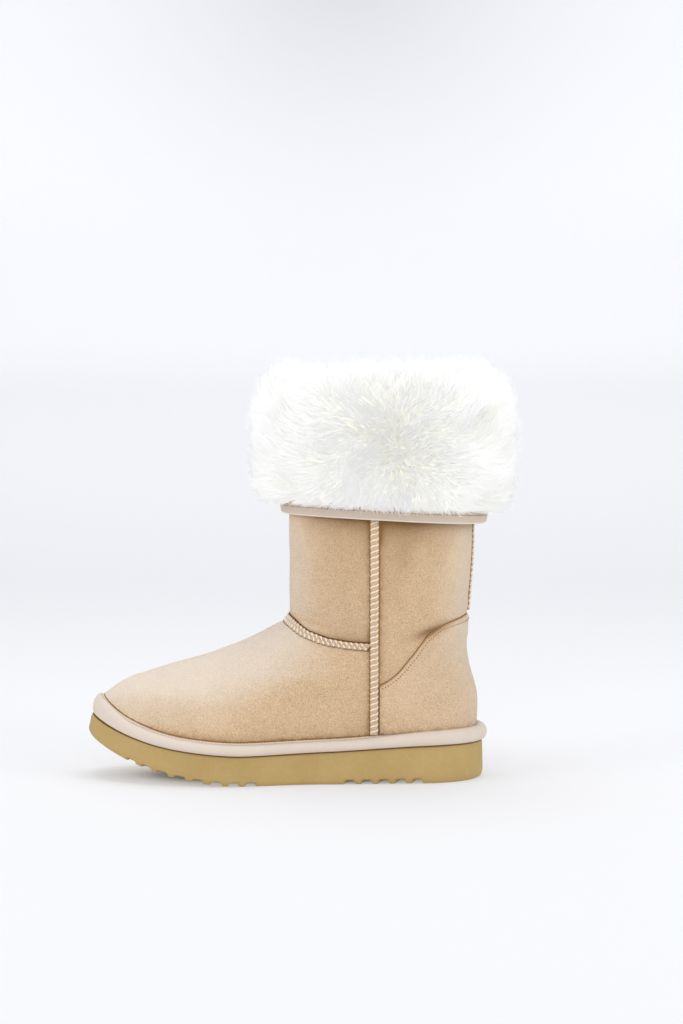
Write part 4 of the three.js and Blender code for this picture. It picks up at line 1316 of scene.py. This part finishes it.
def build_fleece_ground():
    """The body of the pile that shows between the hairs, uneven like packed wool."""
    u = angles(GROUND_COLUMNS)
    v = np.linspace(0, len(FLEECE_UP) - 1, GROUND_ROWS)[:, None]
    outer, normal, _, _ = fleece_frame(v + 0 * u, u + 0 * v, GROUND_INSET)
    lumps = 1.6 * value_noise(outer, 7.0, 51) + 0.8 * value_noise(outer, 3.0, 52)
    outer = outer + normal * lumps[..., None]
    low = hem_at(u) + BINDING_HEIGHT + CLEARANCE
    lowest = outer[-1, :, 2]
    gap = gap_at(u)
    turns = np.linspace(0.1, 0.9, 5)[:, None] * np.pi
    bend = gap / 2 + WALL + CLEARANCE
    over = besides_top(u, gap / 2 - np.cos(turns) * bend, SHAFT_TOP + np.sin(turns) * bend)
    inside = besides_top(u, -WALL - CLEARANCE + 0 * u, lowest)
    face_top = besides_top(u, gap + WALL + CLEARANCE, SHAFT_TOP + 0 * u)
    face_low = besides_top(u, gap + WALL + CLEARANCE, low)
    grid = np.concatenate([outer, inside[None], over, face_top[None], face_low[None]])
    obj = grid_object("pile_ground", grid, [material("pile ground")], True, True)
    place(obj, "cuff_fleece", "fleece_cuff")


def flow(u, v):
    """Which way the tips lean round the cuff: level and rising shares. They fan out from a crown
    on each side. Near it they droop, most of all towards the toe, and further off they rise."""
    level = (u - np.where(u < np.pi, OUTER_CROWN, INNER_CROWN)) * 62.0
    rise = (v - CROWN_ROW) * 13.0
    dist = np.maximum(np.sqrt(level**2 + rise**2), 1e-6)
    level, rise = level / dist, rise / dist
    to_toe = np.where(u < np.pi, level < 0, level > 0)
    droop = np.where(to_toe, -1.2, -0.35)
    rise = rise + np.abs(level) * lerp(droop, 0.45, smooth((dist - 12.0) / 32.0))
    spread = 0.35 + 0.65 * smooth(dist / 24.0)
    return level * spread, rise * spread


def lock_roots(rng, clumps, root_depth):
    """Where locks grow, spread evenly over the pile's form: rows v, angles u, points, normals,
    level and rising directions, and which way and how much the tips lean."""
    v_rows = np.linspace(0.05, LAST_HAIR_ROW, 240)
    probe = fleece_point(v_rows, np.pi / 2)
    weight = np.linalg.norm(np.gradient(probe, axis=0), axis=1) * np.where(v_rows > 8.2, 0.6, 1.0)
    v = np.interp(rng.random(clumps) * weight.sum(), np.cumsum(weight), v_rows)
    u = rng.random(clumps) * 2 * np.pi
    point, normal, around, up = fleece_frame(v, u, root_depth)
    level, rise = flow(u, v)
    turn = 0.95 * value_noise(point, 22.0, 61) + 0.7 * value_noise(point, 8.0, 62)
    turn = turn + rng.normal(0, 0.22, clumps)
    cosine, sine = np.cos(turn), np.sin(turn)
    level, rise = level * cosine - rise * sine, level * sine + rise * cosine
    tilt = around * level[:, None] + up * rise[:, None]
    calm = np.clip(1.15 * np.hypot(level, rise), 0, 1)[:, None]
    tilt = tilt + rng.normal(0, 1.0, (clumps, 3)) * (0.16 + 0.9 * (1.0 - calm) ** 1.4)
    return v, u, point, normal, around, up, tilt


def hair_lines(rng, roots, settings):
    """Three points of every hair, from root to tip, and which hairs are long wisps. The hairs of
    a lock draw together towards the tip, and none falls over the binding or stands too proud."""
    v, u, point, normal, around, up, tilt = roots
    clumps, per_clump = settings.clumps, settings.hairs
    short = np.interp(v, (0, 0.8, 2.5, 6.5, 8.5, LAST_HAIR_ROW), (0.62, 0.8, 1.0, 1.0, 0.85, 0.6))
    patchy = 1.0 + 0.12 * value_noise(point, 13.0, 64)
    length = settings.hair_length * short * patchy * rng.uniform(0.72, 1.12, clumps)
    lean = length * rng.uniform(0.4, 0.8, clumps)
    spread = rng.normal(0, settings.clump_spread, (clumps, per_clump, 2))
    shift = around[:, None] * spread[..., :1] + up[:, None] * spread[..., 1:]
    gather = rng.uniform(0.3, 0.85, (clumps, 1, 1))
    own = rng.uniform(0.8, 1.08, (clumps, per_clump, 1))
    wisp = rng.random((clumps, per_clump, 1)) < settings.wisp_share
    own = np.where(wisp, own * rng.uniform(1.2, 1.9, own.shape), own)
    stray = rng.normal(0, 0.5, (clumps, per_clump, 3)) * np.where(wisp, 4.0, 1.0)
    stray = stray + rng.normal(0, 0.8, (clumps, 1, 3))
    floor = hem_at(u) + BINDING_HEIGHT - 0.9 + 1.6 * value_noise(point, 10.0, 63)
    floor = (floor + rng.normal(0, 1.3, clumps))[:, None] + rng.normal(0, 0.9, (clumps, per_clump))
    surface = fleece_point(v, u)[:, None]
    lines = []
    for t in (0.0, 0.5, 1.0):
        out = length[:, None, None] * own * 0.66 * (1.0 - (1.0 - t) ** 1.5)
        drift = (lean[:, None, None] * own) * t**1.7
        sag = np.array([0, 0, -1.0]) * (t**2 * 0.8)
        line = point[:, None] + shift * (1.0 - gather * t) + normal[:, None] * out
        line = line + tilt[:, None] * drift + stray * t**1.4 + sag
        proud = np.clip(((line - surface) * normal[:, None]).sum(-1, keepdims=True), 0, None)
        line = line + normal[:, None] * (FLEECE_PROUD * np.tanh(proud / FLEECE_PROUD) - proud)
        line[..., 2] = np.maximum(line[..., 2], lerp(line[..., 2], floor, 0.9))
        over = np.clip(line[..., 2] - HIGHEST_DENSE, 0, None)
        line[..., 2] += FLEECE_PROUD * np.tanh(over / FLEECE_PROUD) - over
        lines.append(line)
    return np.stack(lines, 2).reshape(-1, 3, 3), wisp.reshape(-1, 1, 1)


FIRST_HAIR_SEED = 100
# Shares of a hair's width at its root and its middle, and of a long wisp's width.
HAIR_TAPER = (1.0, 0.85)
WISP_WIDTH = 0.75
# How far each of a hair's five corners lies from root to tip, for its colour.
HAIR_HEIGHTS = (0.0, 0.82, 0.0, 0.82, 1.05)


def hair_block(name, seed, settings):
    """Hairs in fine locks: every hair is a tapered ribbon that rises from the ground and bends
    the way the pile flows there. It takes its shading from the pile's form, not from its own."""
    clumps, per_clump = settings.clumps, settings.hairs
    rng = np.random.default_rng(seed)
    roots = lock_roots(rng, clumps, settings.root_depth)
    line, wisp = hair_lines(rng, roots, settings)
    normal, tilt = roots[3], roots[6]
    tangent = unit(line[:, 2] - line[:, 0])
    facing = np.repeat(normal, per_clump, 0) + rng.normal(0, 0.35, tangent.shape)
    aside = unit(np.cross(tangent, facing))[:, None] * settings.hair_width / 2
    thin = np.where(wisp, WISP_WIDTH, 1.0)
    taper = np.array(HAIR_TAPER)[:, None]
    width = taper * rng.uniform(0.7, 1.3, (len(line), 1, 1)) * thin
    left, right = line[:, :2] - aside * width, line[:, :2] + aside * width
    points = np.concatenate([left, right, line[:, 2:]], 1)
    base = (np.arange(len(line)) * points.shape[1])[:, None]
    quads, tips = base + np.array([[0, 2, 3, 1]]), base + np.array([[1, 3, 4]])
    form = normal + 0.2 * tilt + np.array([0.0, 0.0, 0.1]) + rng.normal(0, 0.13, (clumps, 3))
    form = np.repeat(unit(form), per_clump, 0)[:, None]
    form = unit(np.broadcast_to(form, points.shape))
    tone = np.repeat(rng.normal(0, 0.1, clumps), per_clump)[:, None]
    height = np.array(HAIR_HEIGHTS) + tone
    looks = {"height": np.clip(height, 0, 1).ravel(), "form": form.reshape(-1, 3)}
    points = points.reshape(-1, 3)
    obj = write_mesh(name, points, [quads, tips], [material("cuff pile")], attributes=looks)
    place(obj, "cuff_fleece")


def build_binding():
    """The leather strip folded round the hem, with a row of stitches near its upper edge."""
    u = angles(BINDING_COLUMNS)
    gap = gap_at(u)
    face, back, thick = gap + WALL + CLEARANCE, gap - CLEARANCE, BINDING_THICKNESS
    section = [
        (face + thick * 0.7, BINDING_HEIGHT),
        (face, BINDING_HEIGHT - 0.2),
        (face, thick),
        (back, thick),
        (back, BINDING_INNER_HEIGHT),
        (back - thick, BINDING_INNER_HEIGHT),
        (back - thick, thick * 0.9),
        (back - thick * 0.4, 0.3),
        (back + 0.3, 0.0),
        (face - 1.1, 0.0),
        (face - 0.3, 0.3),
        (face + thick * 0.35, 1.0),
        (face + thick * 0.62, 2.1),
        (face + thick * 0.7, 3.1),
        (face + thick * 1.05, 5.2),
        (face + thick * 1.12, 7.6),
    ]
    grid = np.array([besides_top(u, out, hem_at(u) + up) for out, up in section])
    ripple = 0.18 * value_noise(grid, 8.0, 71)
    grid = grid + level_out(TOP_RING, u) * ripple[..., None]
    # Painted highlight: the cells round the binding's underside and lower outer corner take the paler
    # rim colour.
    slots = [8 <= row <= 10 for row in range(len(section))]
    mats = [material("binding leather"), material("binding painted highlight")]
    obj = grid_object("hem_binding", grid, mats, True, True, slots)
    place(obj, "binding_leather", "cuff_binding")
    fine = angles(3000)
    path = besides_top(fine, gap_at(fine) + WALL + CLEARANCE + thick * 1.08, hem_at(fine) + 5.9)
    # The stitches take the gutter colour: painted shade in their holes.
    points, faces = dashes(path, *STITCHES["binding"])
    obj = write_mesh("binding_stitches", points, faces, [material("seam gutter")])
    place(obj, "seam_thread")


# The stage.
def area_light(name, location, target, size, energy, colour=LAMP_WHITE):
    """A round lamp, its place, target and size in metres and its energy in watts."""
    light = bpy.data.lights.new(name, "AREA")
    light.shape, light.size, light.energy, light.color = "DISK", size, energy, colour
    obj = bpy.data.objects.new(name, light)
    bpy.context.scene.collection.objects.link(obj)
    obj.location = location
    direction = np.array(target) - np.array(location)
    obj.rotation_mode = "QUATERNION"
    obj.rotation_quaternion = Vector(direction).to_track_quat("-Z", "Y")


# The backdrop's profile: its y and height, how pale it is and how much it glows. The glow is painted
# light, and with the tone it sets how bright the sweep is from floor to wall.
BACKDROP = (
    (3000, 0, 0.5, 0.40),
    (1200, 0, 0.5, 0.40),
    (400, 0, 0.5, 0.41),
    (-300, 0, 0.55, 0.385),
    (-800, 0, 0.62, 0.31),
    (-1500, 0, 0.72, 0.24),
    (-2000, 60, 0.80, 0.215),
    (-2300, 220, 0.86, 0.18),
    (-2400, 300, 0.88, 0.162),
    (-2400, 450, 0.88, 0.17),
    (-2400, 650, 0.88, 0.205),
    (-2400, 950, 0.88, 0.21),
    (-2400, 1500, 0.88, 0.21),
    (-2400, 2400, 0.88, 0.21),
    (-2400, 4200, 0.88, 0.2),
)


# Soft patches of the backdrop: middle and radii in metres, gain and most. Under the boot the floor's
# glow gives way to a painted cool shadow; high on the wall a painted shade dims the glow.
FLOOR_SHADOW_PATCH = ((0.108, 0.0, 0.0), (0.152, 0.048, 1.0), 6.0, 0.85)
WALL_PAINTED_SHADE = ((0.06, -2.4, 1.02), (0.75, 1.0, 0.75), 1.0, 1.0)
BACKDROP_HALF_WIDTH = 4500.0
# The floor lies a little under the sole, so that the two never share a plane.
FLOOR_DROP = 0.2


def soft_patch(tree, vector, centre, radii, gain, most):
    """A soft round patch: gain times the square of (1 - the distance in shares of the radii),
    held to 0-1, times its most."""
    spot = tree.nodes.new("ShaderNodeMapping")
    spot.inputs["Scale"].default_value = [1.0 / r for r in radii]
    spot.inputs["Location"].default_value = [-c / r for c, r in zip(centre, radii)]
    tree.links.new(vector, spot.inputs["Vector"])
    fall = tree.nodes.new("ShaderNodeTexGradient")
    fall.gradient_type = "QUADRATIC_SPHERE"
    tree.links.new(spot.outputs["Vector"], fall.inputs["Vector"])
    whole = maths(tree, "MULTIPLY", fall.outputs["Fac"], gain, clamp=True)
    return maths(tree, "MULTIPLY", whole, most)


def build_backdrop():
    """A pale floor that curves up behind the boot, with a soft change of tone on the way. Its glow is
    painted light; under the boot the glow gives way to a painted cool shadow colour, and high on
    the wall a painted shade dims it.
    """
    profile = np.array(BACKDROP, float).T
    at = np.arange(profile.shape[1])
    fine = np.linspace(0, at[-1], 80)
    y, z, tone, glow = (read_table(at, row, fine) for row in profile)
    x = np.array([BACKDROP_HALF_WIDTH, -BACKDROP_HALF_WIDTH])
    grid = np.stack(np.broadcast_arrays(x, y[:, None], np.maximum(z, 0)[:, None]), -1)
    mat, tree, shader, coords = new_material("backdrop")
    shade, shine = (attribute(tree, name).outputs["Fac"] for name in ("tone", "glow"))
    colour = mixed(tree, shade, (0.0, 0.0, 0.0), BACKDROP_COLOUR)
    # Painted shadow: under the boot the floor takes a cool colour in place of its glow.
    under = soft_patch(tree, coords, *FLOOR_SHADOW_PATCH)
    tree.links.new(mixed(tree, under, colour, FLOOR_PAINTED_SHADOW), shader.inputs["Base Color"])
    left = maths(tree, "SUBTRACT", 1.0, under)
    # Painted shade: the glow is dimmed high in the middle of the wall.
    painted_wall_shade = soft_patch(tree, coords, *WALL_PAINTED_SHADE)
    left = maths(tree, "MULTIPLY_ADD", painted_wall_shade, -1.3, left, clamp=True)
    bare = maths(tree, "MULTIPLY", shine, left)
    tree.links.new(bare, shader.inputs["Emission Strength"])
    set_inputs(shader, Emission_Color=BACKDROP_COLOUR, Roughness=1.0, Specular_IOR_Level=0.0)
    looks = {"tone": np.repeat(tone, 2), "glow": np.repeat(np.clip(glow, 0, 1), 2)}
    obj = grid_object("backdrop", grid, [mat], attributes=looks)
    obj.location.z = -FLOOR_DROP * MM


# The camera's place in metres and the width of its sensor in millimetres.
CAMERA_PLACE = (0.0708, 1.6, 0.2716)
SENSOR_WIDTH = 36.0


def build_stage(settings):
    """The backdrop, the surround, four lamps and the camera."""
    build_backdrop()
    world = bpy.data.worlds.new("soft surround")
    world.use_nodes = True
    shade = next(n for n in world.node_tree.nodes if n.type == "BACKGROUND")
    set_inputs(shade, Color=SURROUND_WHITE, Strength=settings.surround)
    scene = bpy.context.scene
    scene.world = world
    area_light("top", (0.05, -0.25, 2.0), (0.05, 0, 0.1), 1.6, settings.top)
    area_light("toe side", (1.7, 0.9, 0.9), (0.1, 0, 0.12), 1.2, settings.toe_side)
    area_light("front", (0.3, 2.6, 1.0), (0.05, 0, 0.12), 1.6, settings.front, FRONT_LAMP_WHITE)
    area_light("heel side", (-1.6, 0.9, 0.9), (0.0, 0, 0.12), 1.2, settings.heel_side)
    camera = bpy.data.cameras.new("camera")
    camera.lens, camera.sensor_width = settings.lens, SENSOR_WIDTH
    camera.dof.use_dof = False
    obj = bpy.data.objects.new("camera", camera)
    scene.collection.objects.link(obj)
    obj.location = CAMERA_PLACE
    obj.rotation_euler = (np.radians(90.0 - settings.camera_pitch), 0.0, np.pi)
    scene.camera = obj
    scene.view_settings.view_transform = "Standard"
    scene.view_settings.look = "None"
    scene.view_settings.exposure = 0.0


class BootSettings(bpy.types.PropertyGroup):
    """What can be changed about the boot's finish and its stage."""

    columns: IntProperty(name="Points round the upper", default=330, min=60, max=600)
    clumps: IntProperty(name="Locks in a block", default=14600, min=50, max=16000)
    blocks: IntProperty(name="Blocks of hair", default=4, min=1, max=6)
    hairs: IntProperty(name="Hairs in a lock", default=3, min=2, max=80)
    hair_length: FloatProperty(name="Hair length, mm", default=15.0, min=4, max=40)
    hair_width: FloatProperty(name="Hair width, mm", default=0.3, min=0.05, max=1)
    root_depth: FloatProperty(name="Root depth, mm", default=8.0, min=0, max=18)
    clump_spread: FloatProperty(name="Lock radius, mm", default=0.3, min=0.1, max=8)
    wisp_share: FloatProperty(name="Share of long wisps", default=0.07, min=0, max=1)
    surround: FloatProperty(name="Surround light", default=0.6, min=0, max=5)
    top: FloatProperty(name="Top light, W", default=13.0, min=0, max=500)
    toe_side: FloatProperty(name="Toe side light, W", default=10.0, min=0, max=500)
    front: FloatProperty(name="Front light, W", default=13.5, min=0, max=500)
    heel_side: FloatProperty(name="Heel side light, W", default=12.0, min=0, max=500)
    lens: FloatProperty(name="Lens, mm", default=81.73, min=20, max=200)
    camera_pitch: FloatProperty(name="Camera pitch, degrees", default=3.2, min=-45, max=90)


class BOOT_OT_upper(bpy.types.Operator):
    """Build the suede upper, its lining and the heel counter"""

    bl_idname = "boot.upper"
    bl_label = "Upper"

    def execute(self, context):
        settings = context.scene.boot_settings
        build_upper(settings.columns)
        build_counter(settings.columns)
        return {"FINISHED"}


class BOOT_OT_seams(bpy.types.Operator):
    """Build the raised seams with their threads"""

    bl_idname = "boot.seams"
    bl_label = "Seams"

    def execute(self, context):
        build_side_seam(1, "outer_side_cord", "side_seam_outer")
        build_side_seam(-1, "inner_side_cord", "side_seam_inner")
        build_instep_seam()
        build_back_seam()
        return {"FINISHED"}


class BOOT_OT_sole(bpy.types.Operator):
    """Build the welt, the unit sole and the footbed"""

    bl_idname = "boot.sole"
    bl_label = "Sole"

    def execute(self, context):
        build_welt()
        build_outsole()
        build_insole()
        return {"FINISHED"}


class BOOT_OT_cuff(bpy.types.Operator):
    """Build the cuff's binding, the ground of its pile and the hairs"""

    bl_idname = "boot.cuff"
    bl_label = "Cuff"

    def execute(self, context):
        settings = context.scene.boot_settings
        build_binding()
        build_fleece_ground()
        for block in range(settings.blocks):
            hair_block(f"cuff_hair_{block + 1}", FIRST_HAIR_SEED + block, settings)
        return {"FINISHED"}


class BOOT_OT_stage(bpy.types.Operator):
    """Set up the backdrop, the lights and the camera"""

    bl_idname = "boot.stage"
    bl_label = "Stage"

    def execute(self, context):
        build_stage(context.scene.boot_settings)
        return {"FINISHED"}


class BOOT_PT_panel(bpy.types.Panel):
    """The boot's settings and steps"""

    bl_idname = "BOOT_PT_panel"
    bl_label = "Sheepskin boot"
    bl_space_type = "VIEW_3D"
    bl_region_type = "UI"
    bl_category = "Boot"

    def draw(self, context):
        settings = context.scene.boot_settings
        for name in settings.bl_rna.properties.keys():
            if name not in {"rna_type", "name"}:
                self.layout.prop(settings, name)
        for step in STEPS:
            self.layout.operator(step.bl_idname)


STEPS = (BOOT_OT_upper, BOOT_OT_seams, BOOT_OT_sole, BOOT_OT_cuff, BOOT_OT_stage)
CLASSES = (BootSettings, *STEPS, BOOT_PT_panel)


def register():
    for cls in CLASSES:
        bpy.utils.register_class(cls)
    bpy.types.Scene.boot_settings = PointerProperty(type=BootSettings)


def unregister():
    del bpy.types.Scene.boot_settings
    for cls in reversed(CLASSES):
        bpy.utils.unregister_class(cls)


def main():
    register()
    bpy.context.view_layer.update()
    bpy.ops.boot.upper()
    bpy.ops.boot.seams()
    bpy.ops.boot.sole()
    bpy.ops.boot.cuff()
    bpy.ops.boot.stage()


if __name__ == "__main__":
    main()
